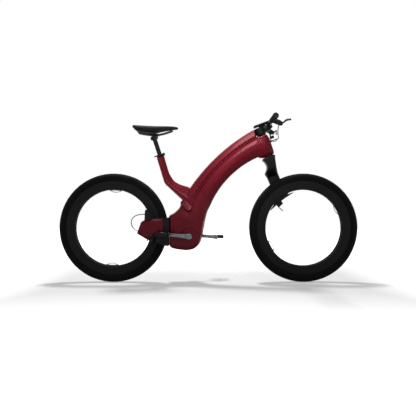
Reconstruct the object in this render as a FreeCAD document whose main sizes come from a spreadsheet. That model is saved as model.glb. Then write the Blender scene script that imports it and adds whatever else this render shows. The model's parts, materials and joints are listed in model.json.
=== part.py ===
import FreeCAD, Part
import math
import os
import Sketcher

# Hubless electric bicycle: both wheels are rims on rollers, each held from one side.
# Millimetres. X runs forward, Z up, and +Y is the rider's left.
# The outlines are drawn with X = 0 at the rear wheel's centre and Z = 0 at the ground,
# and every piece's Placement then brings the top of the saddle to the origin.

sizes = {
    # wheels
    "wheelbase": 1168,
    "wheel_radius": 334,
    "tyre_width": 54,
    "tyre_depth": 46,
    "rim_depth": 54.5,
    "rim_width": 46,
    "channel_width": 34,
    "channel_depth": 23.5,
    "slot_width": 20,
    "lip_thickness": 5,
    # roller carriers inside the rims
    "web_thickness": 10,
    "web_depth": 45,
    "flange_gap": 7.5,
    "foot_depth": 15,
    "front_carrier_angle": 128,
    "front_carrier_half_span": 24,
    "front_carrier_slant": 20,
    "front_foot_lead": 10,
    "rear_carrier_angle": -5,
    "rear_carrier_half_span": 17,
    "rear_carrier_slant": 8,
    "rear_foot_lead": 11,
    "roller_radius": 10.5,
    "roller_width": 8.5,
    "roller_pin_radius": 4,
    "roller_spacing": 7.5,
    "side_gap": 11,
    "arm_thickness": 24,
    "clearance": 0.3,
    "moving_gap": 5,
    "caliper_thickness": 14,
    "hose_radius": 2.5,
    # reflectors inside the rims
    "reflector_half_angle": 9.8,
    "reflector_depth": 16.5,
    "reflector_thickness": 5,
    "rear_reflector_angle": 87.5,
    "front_reflector_angle": 28.7,
    # steering
    "head_angle": 70,
    "fork_offset": 45,
    "crown_gap": 26,
    "head_height": 138,
    "head_radius": 34,
    "head_width": 76,
    "steerer_radius": 14.3,
    "bearing_height": 6,
    "crown_height": 120,
    "crown_half_depth": 34,
    "crown_half_width": 36,
    "stem_height": 44,
    "stem_radius": 33,
    "stem_width": 44,
    "bar_reach": 60,
    "bar_lift": 43,
    "bar_length": 680,
    "bar_radius": 11.1,
    "bar_clamp_radius": 17,
    "blade_radius": 4.5,
    "grip_length": 130,
    "grip_radius": 17,
    "screen_length": 112,
    "screen_width": 62,
    "screen_thickness": 12,
    "lamp_radius": 9,
    "lamp_length": 26,
    # frame
    "tyre_gap": 11,
    "housing_back": 123,
    "bracket_drop": 49,
    "tube_width": 84,
    "tube_bevel": 14,
    "tube_back_bend": 1164,
    "tube_belly_bend": 570,
    "nose_bend": 250,
    "housing_width": 120,
    "motor_radius": 62,
    "motor_width": 96,
    "cover_thickness": 12,
    # seat
    "seat_angle": 71.8,
    "collar_x": 288,
    "collar_z": 770,
    "mast_width": 48,
    "post_radius": 13.6,
    "post_clearance": 0.05,
    "post_inserted": 110,
    "post_exposed": 122,
    "post_bore_depth": 175,
    "collar_height": 16,
    "collar_wall": 8,
    "saddle_x": 256,
    "saddle_z": 962,
    "saddle_length": 283,
    "saddle_width": 148,
    "rail_radius": 3.5,
    "rail_gap": 44,
    # cranks and pedals
    "crank_length": 165,
    "crank_angle": 5,
    "crank_thickness": 13,
    "crank_radius": 15,
    "crank_inner": 84,
    "spindle_radius": 11,
    "pedal_gap": 6,
    "pedal_width": 92,
    "pedal_length": 96,
    "pedal_thickness": 20,
    "pedal_pin_radius": 6,
}

# what follows from those: the motor and the head keep their clearances from the tyres
derived = {
    "bar_rise": "<head_base> + <head_height> + <bar_lift>",
    "head_base": "<wheel_radius> + <crown_gap> + <crown_height> + <bearing_height>",
    "bracket_setback": "<wheel_radius> + <tyre_gap> + <housing_back>",
    "bracket_height": "<wheel_radius> - <bracket_drop>",
}

doc = FreeCAD.newDocument("hubless_bicycle")
sheet = doc.addObject("Spreadsheet::Sheet", "Sizes")
for row, (name, value) in enumerate(sizes.items(), start=1):
    sheet.set(f"A{row}", name)
    sheet.set(f"B{row}", str(value))
    sheet.setAlias(f"B{row}", name)
doc.recompute()

pieces = []


def named(text):
    """Write a size's plain name as the sheet's own."""
    for name, formula in derived.items():
        text = text.replace(f"<{name}>", f"({formula})")
    for name in sorted(sizes, key=len, reverse=True):
        text = text.replace(f"<{name}>", f"Sizes.{name}")
    return text


def worth(text):
    """The number that an expression stands for."""
    return float(sheet.evalExpression(text))


def size(name):
    return worth(f"Sizes.{name}")


def point(x, z):
    return named(str(x)), named(str(z))


# --- places that the outlines share, as pairs of expressions ---

rear_hub = point(0, "<wheel_radius>")
front_hub = point("<wheelbase>", "<wheel_radius>")
bracket = point("<bracket_setback>", "<bracket_height>")
saddle_top = point("<saddle_x>", "<saddle_z>")


def steer(along, ahead):
    """A point by its distance up the steering axis and ahead of it."""
    tilt = "(90 - <head_angle>)"
    ahead = f"({ahead} - <fork_offset>)"
    return point(
        f"<wheelbase> + {ahead} * cos({tilt}) - ({along}) * sin({tilt})",
        f"<wheel_radius> + {ahead} * sin({tilt}) + ({along}) * cos({tilt})",
    )


def mast(along, ahead):
    """A point by its distance up the seat post and ahead of it, from the mast's top."""
    tilt = "(90 - <seat_angle>)"
    return point(
        f"<collar_x> + ({ahead}) * cos({tilt}) - ({along}) * sin({tilt})",
        f"<collar_z> + ({ahead}) * sin({tilt}) + ({along}) * cos({tilt})",
    )


def around(hub, radius, angle):
    return point(f"{hub[0]} + ({radius}) * cos({angle})", f"{hub[1]} + ({radius}) * sin({angle})")


def beside(place, x, z):
    return point(f"{place[0]} + ({x})", f"{place[1]} + ({z})")


# --- tools for drawing ---


def put(thing, home=("0", "0")):
    """Bring a piece drawn about its home point to its place in the bicycle's frame."""
    thing.setExpression("Placement.Base.x", f"{home[0]} - {saddle_top[0]}")
    thing.setExpression("Placement.Base.z", f"{home[1]} - {saddle_top[1]}")


def new_body(name, home=("0", "0")):
    body = doc.addObject("PartDesign::Body", name)
    body.Label = name
    put(body, home)
    pieces.append(body)
    return body


def new_sketch(body, plane, offset):
    sketch = body.newObject("Sketcher::SketchObject", "outline")
    origin = [f for f in body.Origin.OriginFeatures if f.Role == plane][0]
    sketch.AttachmentSupport = (origin, [""])
    sketch.MapMode = "FlatFace"
    if offset is not None:
        sketch.setExpression("AttachmentOffset.Base.z", named(offset))
    return sketch


def pin_point(sketch, edge, end, place):
    for kind, text in zip(("DistanceX", "DistanceY"), place):
        index = sketch.addConstraint(Sketcher.Constraint(kind, -1, 1, edge, end, worth(text)))
        sketch.setExpression(f"Constraints[{index}]", text)


def arc_between(first, last, radius, left):
    """The short arc that turns left or right from the first point to the last."""
    chord = last - first
    across = FreeCAD.Vector(-chord.y, chord.x, 0).normalize()
    if not left:
        across = -across
    centre = first + chord / 2 + across * math.sqrt(radius**2 - (chord.Length / 2) ** 2)
    start, end = (first, last) if left else (last, first)
    angles = [math.atan2(p.y - centre.y, p.x - centre.x) for p in (start, end)]
    circle = Part.Circle(centre, FreeCAD.Vector(0, 0, 1), radius)
    return Part.ArcOfCircle(circle, *angles)


def draw(sketch, outline):
    """Closed outline. Each entry is (place,), or (place, radius, "left" or "right") where
    an arc runs from that place to the next."""
    spots = [FreeCAD.Vector(worth(e[0][0]), worth(e[0][1]), 0) for e in outline]
    count = len(outline)
    ends = []
    for i, entry in enumerate(outline):
        first, last = spots[i], spots[(i + 1) % count]
        if len(entry) == 1:
            sketch.addGeometry(Part.LineSegment(first, last), False)
            ends.append((1, 2))
        else:
            left = entry[2] == "left"
            sketch.addGeometry(arc_between(first, last, worth(named(entry[1])), left), False)
            ends.append((1, 2) if left else (2, 1))
    for i in range(count):
        following = (i + 1) % count
        sketch.addConstraint(
            Sketcher.Constraint("Coincident", i, ends[i][1], following, ends[following][0]))
    for i, entry in enumerate(outline):
        pin_point(sketch, i, ends[i][0], entry[0])
        if len(entry) > 1:
            index = sketch.addConstraint(Sketcher.Constraint("Radius", i, worth(named(entry[1]))))
            sketch.setExpression(f"Constraints[{index}]", named(entry[1]))


def straight(*places):
    return [(place,) for place in places]


def plate(body, outline, high, low, cut=False):
    """A flat piece between two distances from the middle plane, high being further left."""
    sketch = new_sketch(body, "XZ_Plane", f"-({high})")
    draw(sketch, outline)
    return extrude(body, sketch, f"({high}) - ({low})", cut)


def extrude(body, sketch, length, cut):
    kind = "PartDesign::Pocket" if cut else "PartDesign::Pad"
    feature = body.newObject(kind, "cut" if cut else "plate")
    feature.Profile = sketch
    feature.setExpression("Length", named(length))
    if cut:
        feature.Reversed = True
    return feature


def disc(body, centre, radius, high, low, cut=False):
    """A round piece or hole across the bicycle."""
    sketch = new_sketch(body, "XZ_Plane", f"-({high})")
    middle = FreeCAD.Vector(worth(centre[0]), worth(centre[1]), 0)
    reach = worth(named(radius))
    sketch.addGeometry(Part.Circle(middle, FreeCAD.Vector(0, 0, 1), reach), False)
    pin_point(sketch, 0, 3, centre)
    index = sketch.addConstraint(Sketcher.Constraint("Radius", 0, reach))
    sketch.setExpression(f"Constraints[{index}]", named(radius))
    return extrude(body, sketch, f"({high}) - ({low})", cut)


def turned(body, outline, foot, head, cut=False):
    """A piece or bore turned about the line from foot to head, in the middle plane."""
    sketch = new_sketch(body, "XZ_Plane", None)
    draw(sketch, outline)
    axis = len(outline)
    line = [FreeCAD.Vector(worth(p[0]), worth(p[1]), 0) for p in (foot, head)]
    sketch.addGeometry(Part.LineSegment(*line), True)
    pin_point(sketch, axis, 1, foot)
    pin_point(sketch, axis, 2, head)
    return revolve(body, sketch, "Axis0", cut)


def revolve(body, sketch, axis, cut=False):
    kind = "PartDesign::Groove" if cut else "PartDesign::Revolution"
    feature = body.newObject(kind, "bore" if cut else "turned")
    feature.Profile = sketch
    feature.ReferenceAxis = (sketch, [axis])
    feature.Angle = 360
    return feature


def ring(body, outline):
    """A wheel piece, its outline given as radius and distance from the middle plane."""
    sketch = new_sketch(body, "XY_Plane", None)
    draw(sketch, outline)
    return revolve(body, sketch, "V_Axis")


def rod(body, frame, low, high, radius, cut=False, inner="0"):
    """A round bar or bore along a tilted axis, given by that axis's own function."""
    outline = straight(frame(low, inner), frame(low, radius), frame(high, radius),
                       frame(high, inner))
    return turned(body, outline, frame(low, "0"), frame(high, "0"), cut)


def sector(hub, inner, outer, first, last, slant="0"):
    """Outline of a slice of a ring between two angles, shorter inside by the slant."""
    return [
        (around(hub, inner, f"({first} + {slant})"),),
        (around(hub, outer, first), outer, "left"),
        (around(hub, outer, last),),
        (around(hub, inner, f"({last} - {slant})"), inner, "right"),
    ]


def bar_across(body, centre, radius, half_length):
    return disc(body, centre, radius, half_length, f"-({half_length})")


def bevel(body, feature, radius, width):
    """Cut back the two long edges of a plate that follow an arc of this radius."""
    doc.recompute()
    edges = feature.Shape.Edges
    found = [f"Edge{i}" for i, edge in enumerate(edges, start=1)
             if edge.Curve.TypeId == "Part::GeomCircle"
             and abs(edge.Curve.Radius - worth(named(radius))) < 0.01]
    chamfer = body.newObject("PartDesign::Chamfer", "bevel")
    chamfer.Base = (feature, found)
    chamfer.setExpression("Size", named(width))
    return chamfer


origin = point(0, 0)
tyre_half = "<tyre_width> / 2"
bead = "<wheel_radius> - <tyre_depth>"
rim_inner = f"{bead} - <rim_depth>"
race = f"{rim_inner} + <lip_thickness> + <channel_depth>"
roller_centre = f"({race} - <roller_radius> - <clearance>)"
web_outer = f"({race} - 4)"
web_inner = f"({web_outer} - <web_depth>)"
foot_inner = f"({web_outer} - <foot_depth>)"
flange_outer = f"({rim_inner} - <flange_gap>)"
leg_inner = "(<tyre_width> / 2 + <side_gap>)"
leg_outer = "(<tyre_width> / 2 + <side_gap> + <arm_thickness>)"


# --- wheels ---


def make_tyre(name, hub):
    body = new_body(name, hub)
    half_bead = f"sqrt(pow({tyre_half}; 2) - pow({tyre_half} - <tyre_depth>; 2))"
    crown = point("<wheel_radius>", 0)
    low = point(bead, f"-{half_bead}")
    high = point(bead, half_bead)
    ring(body, [(low, tyre_half, "left"), (crown, tyre_half, "left"), (high,)])


def make_rim(name, hub):
    body = new_body(name, hub)
    shoulder = f"{bead} - 8"
    heel = f"{rim_inner} + 7"
    throat = f"{rim_inner} + <lip_thickness>"
    half = "<rim_width> / 2"
    right_side = [
        (bead, f"-({half} - 2)"), (shoulder, f"-({half})"), (heel, f"-({half})"),
        (rim_inner, f"-({half} - 3)"), (rim_inner, "-<slot_width> / 2"),
        (throat, "-<slot_width> / 2"), (throat, "-<channel_width> / 2"),
        (race, "-<channel_width> / 2"),
    ]
    left_side = [(radius, f"-({y})") for radius, y in reversed(right_side)]
    ring(body, straight(*[point(*p) for p in right_side + left_side]))


def make_reflectors(name, hub, angle, side):
    """Two clear reflectors bonded inside the rim, clear of the carrier's web."""
    body = new_body(name, hub)
    radius = f"({rim_inner} - <clearance>)"
    half_chord = f"({radius} * sin(<reflector_half_angle>))"
    drop = f"({radius} * cos(<reflector_half_angle>) - ({rim_inner}) + <reflector_depth>)"
    lower = f"((pow({half_chord}; 2) + pow({drop}; 2)) / (2 * {drop}))"
    near = "(<web_thickness> / 2 + <moving_gap>)"
    far = f"({near} + <reflector_thickness>)"
    high, low = (far, near) if side == "left" else (f"-{near}", f"-{far}")
    for turn in (0, 180):
        middle = f"({angle} + {turn})"
        first = around(origin, radius, f"({middle} - <reflector_half_angle>)")
        last = around(origin, radius, f"({middle} + <reflector_half_angle>)")
        plate(body, [(first, radius, "left"), (last, lower, "left")], high, low)


def make_carrier(name, hub, angle, span, slant, side):
    """The curved shoe that reaches into the rim's slot and carries its rollers."""
    body = new_body(name, hub)
    first = f"({angle} - {span})"
    last = f"({angle} + {span})"
    half = "<web_thickness> / 2"
    plate(body, sector(origin, web_inner, web_outer, first, last, slant), half, f"-{half}")
    high, low = (leg_inner, half) if side == "left" else (f"-{half}", f"-{leg_inner}")
    plate(body, sector(origin, web_inner, flange_outer, first, last, slant), high, low)
    for step in (-2, -1, 0, 1, 2):
        centre = around(origin, roller_centre, f"({angle} + {step} * <roller_spacing>)")
        disc(body, centre, "<roller_pin_radius> + <clearance>", half, f"-{half}", cut=True)


def make_rollers(name, hub, angle):
    """Five spools, each two rollers on a pin through the carrier's web."""
    body = new_body(name, hub)
    inner = "(<web_thickness> / 2 + <clearance>)"
    outer = f"({inner} + <roller_width>)"
    for step in (-2, -1, 0, 1, 2):
        centre = around(origin, roller_centre, f"({angle} + {step} * <roller_spacing>)")
        bar_across(body, centre, "<roller_pin_radius>", inner)
        disc(body, centre, "<roller_radius>", outer, inner)
        disc(body, centre, "<roller_radius>", f"-{inner}", f"-{outer}")


for end, hub, side in (("rear", rear_hub, "left"), ("front", front_hub, "right")):
    make_tyre(f"{end}_tyre", hub)
    make_rim(f"{end}_rim", hub)
    make_reflectors(f"{end}_reflectors", hub, f"<{end}_reflector_angle>", side)

make_carrier("rear_carrier", rear_hub, "<rear_carrier_angle>", "<rear_carrier_half_span>",
             "<rear_carrier_slant>", "right")
make_rollers("rear_rollers", rear_hub, "<rear_carrier_angle>")
make_carrier("front_carrier", front_hub, "<front_carrier_angle>", "<front_carrier_half_span>",
             "<front_carrier_slant>", "left")
make_rollers("front_rollers", front_hub, "<front_carrier_angle>")


# --- frame ---

head_top = "(<head_base> + <head_height>)"
tube_half = "<tube_width> / 2"
housing_half = "<housing_width> / 2"
neck_low = beside(bracket, -52, 220)
neck_high = beside(bracket, -12, 304)
tube_foot = beside(bracket, 126, 183)


def make_main_tube():
    """The deep tube from the head down to the motor housing, with the head's bore."""
    body = new_body("main_tube")
    outline = [
        (steer("<head_base>", "<head_radius> - 2"), "<nose_bend>", "left"),
        (steer(head_top, "22"),),
        (steer(head_top, "-<stem_radius> - 5"),),
        (steer(f"{head_top} + <stem_height> + 4", "-<stem_radius> - 5"), "<tube_back_bend>", "left"),
        (beside(bracket, 20, 320),),
        (neck_high,),
        (neck_low,),
        (tube_foot, "<tube_belly_bend>", "right"),
        (steer("<head_base> + 20", "-85"),),
        (steer("<head_base> + 17", "-42"),),
        (steer("<head_base>", "-30"),),
    ]
    shell = plate(body, outline, tube_half, f"-{tube_half}")
    shell = bevel(body, shell, "<nose_bend>", "24")
    shell = bevel(body, shell, "<tube_back_bend>", "<tube_bevel>")
    bevel(body, shell, "<tube_belly_bend>", "<tube_bevel>")
    rod(body, steer, "<head_base> - 1", f"{head_top} + 1", "<steerer_radius> + 5", cut=True)


def make_motor_housing():
    """The wide shell round the motor, open on both sides under the round covers."""
    body = new_body("motor_housing")
    outline = [
        (neck_low,),
        (beside(bracket, "-<housing_back>", 117),),
        (beside(bracket, "-<housing_back>", -68),),
        (beside(bracket, -84, -78),),
        (beside(bracket, -41, -87),),
        (beside(bracket, 0, -87), "95", "left"),
        (beside(bracket, 83, 23),),
        (beside(bracket, 101, 97), "<tube_belly_bend>", "right"),
        (tube_foot,),
    ]
    plate(body, outline, housing_half, f"-{housing_half}")
    disc(body, bracket, "<motor_radius> + <clearance>", housing_half, f"-{housing_half}", cut=True)


def make_motor():
    body = new_body("motor_unit")
    half = "<motor_width> / 2"
    bar_across(body, bracket, "<motor_radius>", half)
    disc(body, bracket, "<spindle_radius> + <clearance>", half, f"-{half}", cut=True)


def make_motor_cover(name, high, low):
    body = new_body(name)
    disc(body, bracket, "<motor_radius>", high, low)
    disc(body, bracket, "<spindle_radius> + <clearance>", high, low, cut=True)


def make_mast():
    """The leaning tube that takes the seat post."""
    body = new_body("seat_mast")
    half = "<mast_width> / 2"
    outline = [
        (mast("0", f"-{half}"),),
        (mast("0", half),),
        (beside(bracket, -108, 376), "146", "left"),
        (neck_high,),
        (neck_low,),
        (beside(bracket, -157, 328),),
    ]
    plate(body, outline, half, f"-{half}")
    rod(body, mast, "-<post_bore_depth>", "1", "<post_radius> + <post_clearance>", cut=True)


def make_collar():
    """The clamp round the post on top of the mast, with its lug and lever."""
    body = new_body("seat_collar")
    reach = "<post_radius> + <collar_wall>"
    rod(body, mast, "0", "<collar_height>", reach, inner="<post_radius> + <post_clearance>")
    lug = straight(mast("1", f"({reach}) - 2"), mast("1", f"({reach}) + 10"),
                   mast("<collar_height> - 1", f"({reach}) + 10"),
                   mast("<collar_height> - 1", f"({reach}) - 2"))
    plate(body, lug, "8", "1")
    plate(body, lug, "-1", "-8")


def make_collar_lever():
    body = new_body("collar_lever")
    centre = mast("<collar_height> / 2", "<post_radius> + <collar_wall> + 4")
    disc(body, centre, "3", "22", "8")
    disc(body, centre, "3", "-8", "-14")
    disc(body, centre, "8", "-14", "-31")
    arm = straight(mast("<collar_height> / 2 - 5", "8"), mast("<collar_height> / 2 - 5", "24"),
                   mast("<collar_height> / 2 + 5", "24"), mast("<collar_height> / 2 + 5", "-34"),
                   mast("<collar_height> / 2 - 3", "-34"))
    plate(body, arm, "-23", "-31")


def make_bearing(name, low):
    body = new_body(name)
    rod(body, steer, low, f"{low} + <bearing_height>", "<head_radius> - 6",
        inner="<steerer_radius> + <clearance>")


make_main_tube()
make_motor_housing()
make_motor()
make_motor_cover("motor_cover_left", housing_half, "<motor_width> / 2 + <clearance>")
make_motor_cover("motor_cover_right", "-<motor_width> / 2 - <clearance>", f"-{housing_half}")
make_mast()
make_collar()
make_collar_lever()
make_bearing("lower_head_bearing", "<head_base> - <bearing_height>")
make_bearing("upper_head_bearing", head_top)


def make_foot(body, hub, angle, span, slant, before, beyond, high, low):
    """The slice of a ring that bolts to a carrier, with a narrower slice beyond it."""
    first, last = f"({angle} - {span})", f"({angle} + {span})"
    plate(body, sector(hub, web_inner, web_outer, first, last, slant), high, low)
    plate(body, sector(hub, foot_inner, web_outer, f"({first} - {before})",
                       f"({last} + {beyond})"), high, low)


def past_carrier(ahead, up):
    """A point beside the rear carrier, by its distance ahead of the carrier's outer edge."""
    return beside(rear_hub, f"{web_outer} + ({ahead})", up)


def make_rear_arm():
    """The arm on the right that holds the rear carrier from the motor housing."""
    body = new_body("rear_arm")
    make_foot(body, rear_hub, "<rear_carrier_angle>", "<rear_carrier_half_span>",
              "<rear_carrier_slant>", "0", "<rear_foot_lead>", f"-{leg_inner}", f"-{leg_outer}")
    bar = straight(past_carrier(-33, -30), beside(bracket, "-<housing_back>", 22),
                   beside(bracket, "-<housing_back>", 113), past_carrier(-33, 62))
    plate(body, bar, f"-{leg_inner}", f"-{leg_outer}")


def make_rear_cover():
    """The faceted red cover outside the rear arm."""
    body = new_body("rear_arm_cover")
    outline = straight(
        past_carrier(-107, -32), past_carrier(-47, -68), past_carrier(48, -21),
        past_carrier(50, 56), past_carrier(-60, 50), past_carrier(-81, 37))
    plate(body, outline, f"-{leg_outer}", f"-{leg_outer} - <cover_thickness>")


def make_guard():
    """The black guard below the rear arm."""
    body = new_body("lower_guard")
    outline = straight(
        past_carrier(10, -34), beside(bracket, "-<housing_back>", 18),
        beside(bracket, "-<housing_back>", -60), past_carrier(54, -106), past_carrier(4, -88))
    plate(body, outline, f"-{leg_inner}", f"-{leg_outer}")


make_rear_arm()
make_rear_cover()
make_guard()


def make_calipers():
    """The rear one is bolted to the arm's outer face, the front one inside the leg's foot."""
    rear = new_body("rear_caliper")
    outline = straight(past_carrier(-58, 52), past_carrier(-22, 54), past_carrier(-20, 84),
                       past_carrier(-39, 99), past_carrier(-42, 110), past_carrier(-55, 113),
                       past_carrier(-58, 100))
    plate(rear, outline, f"-{leg_outer}", f"-{leg_outer} - <caliper_thickness>")
    front = new_body("front_caliper", front_hub)
    outer = f"({web_inner} - <clearance>)"
    inner = f"({outer} - 22)"
    outline = straight(around(origin, inner, 128), around(origin, outer, 128),
                       around(origin, outer, 139), around(origin, inner, 139))
    plate(front, outline, f"{leg_inner} + 20", leg_inner)
    nozzle = straight(point(-148, 133), point(-151.5, 129.5), point(-120, 101), point(-116.5, 104.5))
    plate(front, nozzle, f"{leg_inner} + 12", f"{leg_inner} + 7")


make_calipers()


# --- seat ---


def make_post():
    body = new_body("seat_post")
    rod(body, mast, "-<post_inserted>", "<post_exposed>", "<post_radius>")


def make_saddle_clamp():
    body = new_body("saddle_clamp")
    outline = straight(mast("<post_exposed>", "-24"), mast("<post_exposed>", "24"),
                       beside(saddle_top, 19, -60), beside(saddle_top, -31, -60))
    plate(body, outline, "26", "-26")


def make_saddle_rails():
    """Two bars that rest on the clamp and rise into the saddle at both ends."""
    rise = [beside(saddle_top, -104, -45.5), beside(saddle_top, -50, -56.2),
            beside(saddle_top, 28, -56.2), beside(saddle_top, 70, -45),
            beside(saddle_top, 108, -31.2)]
    spots = [FreeCAD.Vector(worth(x), 0, worth(z)) for x, z in rise]
    solids = []
    for side in (-1, 1):
        shift = FreeCAD.Vector(0, side * size("rail_gap") / 2, 0)
        solids.append(tube([p + shift for p in spots], size("rail_radius")))
    keep_shape("saddle_rails", solids)


def rounded_path(points, label):
    """Straight runs joined by tangent arcs, each as large as its two runs allow."""
    edges = []
    start = points[0]
    radii = []
    for before, corner, after in zip(points, points[1:], points[2:]):
        inward = (corner - before)
        outward = (after - corner)
        turn = inward.getAngle(outward)
        reach = 0.45 * min(inward.Length, outward.Length)
        radii.append(reach / math.tan(turn / 2))
        inward.normalize()
        outward.normalize()
        first = corner - inward * reach
        last = corner + outward * reach
        bisector = (outward - inward).normalize()
        drop = radii[-1] * (1 / math.cos(turn / 2) - 1)
        edges.append(Part.LineSegment(start, first).toShape())
        edges.append(Part.Arc(first, corner + bisector * drop, last).toShape())
        start = last
    edges.append(Part.LineSegment(start, points[-1]).toShape())
    if label:
        print(label, "radii", [round(r, 1) for r in radii])
    return Part.Wire(edges)


def tube(points, radius, label=""):
    path = rounded_path(points, label)
    direction = points[1] - points[0]
    circle = Part.Wire([Part.Circle(points[0], direction, radius).toShape()])
    solid = path.makePipeShell([circle], True, False)
    expected = math.pi * radius**2 * path.Length
    if label:
        print(label, "length", round(path.Length, 1), "volume ratio",
              round(solid.Volume / expected, 4))
    return solid


def keep_shape(name, solids):
    piece = doc.addObject("Part::Feature", name)
    piece.Label = name
    piece.Shape = solids[0] if len(solids) == 1 else Part.makeCompound(solids)
    put(piece)
    pieces.append(piece)
    return piece


def make_saddle():
    """The padded seat: its side outline crossed with its plan."""
    side = doc.addObject("PartDesign::Body", "saddle_side")
    outline = straight(
        beside(saddle_top, -138, -13), beside(saddle_top, -110, -41), beside(saddle_top, -33, -51),
        beside(saddle_top, 91, -30), beside(saddle_top, 142, -22), beside(saddle_top, 142, -10),
        beside(saddle_top, 109, -2), beside(saddle_top, 29, -2), beside(saddle_top, -48, 0),
        beside(saddle_top, -141, 3))
    plate(side, outline, "<saddle_width> / 2", "-<saddle_width> / 2")
    plan = doc.addObject("PartDesign::Body", "saddle_plan")
    sketch = new_sketch(plan, "XY_Plane", "<saddle_z> - 100")
    half = "<saddle_width> / 2"
    right = [("-<saddle_length> / 2 + 4", f"-{half} * 0.62"), ("-<saddle_length> / 2 + 22", f"-{half}"),
             ("-30", f"-{half} * 0.9"), ("40", f"-{half} * 0.36"), ("<saddle_length> / 2 - 12", f"-{half} * 0.26"),
             ("<saddle_length> / 2", f"-{half} * 0.14")]
    left = [(x, f"-({y})") for x, y in reversed(right)]
    draw(sketch, straight(*[point(f"<saddle_x> + {x}", y) for x, y in right + left]))
    extrude(plan, sketch, "200", False)
    both = doc.addObject("Part::Common", "saddle")
    both.Label = "saddle"
    both.Base = side
    both.Tool = plan
    put(both)
    pieces.append(both)


make_post()
make_saddle_clamp()
make_saddle_rails()
make_saddle()


# --- steering ---

crown_top = "(<head_base> - <bearing_height>)"
bar_centre = steer("<bar_rise>", "<bar_reach>")


def make_crown():
    """The fork's crown, which steps out to the left over the tyre."""
    body = new_body("fork_crown")
    outline = [
        (steer(crown_top, "<crown_half_depth> - 4"), "60", "right"),
        (steer(f"{crown_top} - 40", "<crown_half_depth> - 14"),),
        (steer(f"{crown_top} - <crown_height>", "20"),),
        (steer(f"{crown_top} - <crown_height>", "-52"),),
        (steer(f"{crown_top} - 82", "-62"),),
        (steer(f"{crown_top} - 50", "-38"),),
        (steer(f"{crown_top} - 26", "-37"),),
        (steer(crown_top, "-50"),),
    ]
    outline = [(e[0], e[1], "left") if len(e) > 1 else e for e in outline]
    plate(body, outline, leg_outer, "-<crown_half_width>")


def make_leg():
    """The single fork leg, ending in a foot that holds the carrier."""
    body = new_body("fork_leg")
    blade_top = f"({crown_top} - <crown_height>)"
    blade = straight(
        steer(blade_top, "20"), steer(blade_top, "-52"),
        steer("<wheel_radius> - 34", "-50"), steer("<wheel_radius> - 102", "-52"),
        steer("<wheel_radius> - 102", "18"), steer("<wheel_radius> - 34", "20"))
    plate(body, blade, leg_outer, leg_inner)
    make_foot(body, front_hub, "<front_carrier_angle>", "<front_carrier_half_span>",
              "<front_carrier_slant>", "<front_foot_lead>", "0", leg_outer, leg_inner)


def make_steerer():
    body = new_body("steerer")
    rod(body, steer, crown_top, f"{head_top} + <bearing_height>", "<steerer_radius>")


def make_stem():
    """The block on the steerer, reaching forward to the handlebar."""
    body = new_body("stem")
    low = f"({head_top} + <bearing_height>)"
    high = f"({low} + <stem_height> - 4)"
    outline = straight(
        steer(low, "0"), steer(high, "0"),
        steer(high, "<bar_reach> + 14"), steer(f"{high} - 26", "<bar_reach> + 16"),
        steer(low, "24"))
    plate(body, outline, "<stem_width> / 2", "-<stem_width> / 2")
    rod(body, steer, low, high, "<stem_radius>")
    disc(body, bar_centre, "<bar_radius> + <clearance>", "<stem_width> / 2",
         "-<stem_width> / 2", cut=True)


def make_handlebar():
    body = new_body("handlebar")
    bar_across(body, bar_centre, "<bar_radius>", "<bar_length> / 2")
    disc(body, bar_centre, "<bar_radius> - 2.5", "<bar_length> / 2", "<bar_length> / 2 - 60", cut=True)
    disc(body, bar_centre, "<bar_radius> - 2.5", "-<bar_length> / 2 + 60", "-<bar_length> / 2", cut=True)


def make_grip(name, high, low):
    body = new_body(name)
    disc(body, bar_centre, "<grip_radius>", high, low)
    disc(body, bar_centre, "<bar_radius> + <clearance>", high, low, cut=True)


def make_brake_lever(side, sign):
    """The clamp and reservoir on the bar, and the blade that reaches along the grip."""
    inner = "(<bar_length> / 2 - <grip_length> - 14)"
    clamp = new_body(f"brake_clamp_{side}")
    high, low = (inner, f"({inner} - 18)") if sign > 0 else (f"-({inner} - 18)", f"-{inner}")
    disc(clamp, bar_centre, "<bar_clamp_radius>", high, low)
    block = straight(beside(bar_centre, 6, -16), beside(bar_centre, 56, -32),
                     beside(bar_centre, 60, -10), beside(bar_centre, 14, 8))
    plate(clamp, block, high, low)
    disc(clamp, bar_centre, "<bar_radius> + <clearance>", high, low, cut=True)
    start = sign * (worth(named(inner)) - 9)
    x, z = (worth(v) for v in bar_centre)
    route = [(64, 0, -14), (75, 14, -5), (82, 50, -6), (87, 98, -13)]
    spots = [FreeCAD.Vector(x + a, start + sign * b, z + c) for a, b, c in route]
    keep_shape(f"brake_blade_{side}", [tube(spots, size("blade_radius"))])


def make_screen():
    body = new_body("screen")
    low = f"({head_top} + <bearing_height> + <stem_height> - 4)"
    base = f"({low} + 10)"
    half = "<screen_length> / 2"
    outline = straight(
        steer(base, f"26 - {half}"), steer(f"{base} + <screen_thickness>", f"26 - {half}"),
        steer(f"{base} + <screen_thickness>", f"26 + {half}"), steer(base, f"26 + {half}"))
    plate(body, outline, "<screen_width> / 2", "-<screen_width> / 2")
    cradle = straight(steer(low, "6"), steer(base, "0"), steer(base, "42"), steer(low, "36"))
    plate(body, cradle, "15", "-15")


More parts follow.
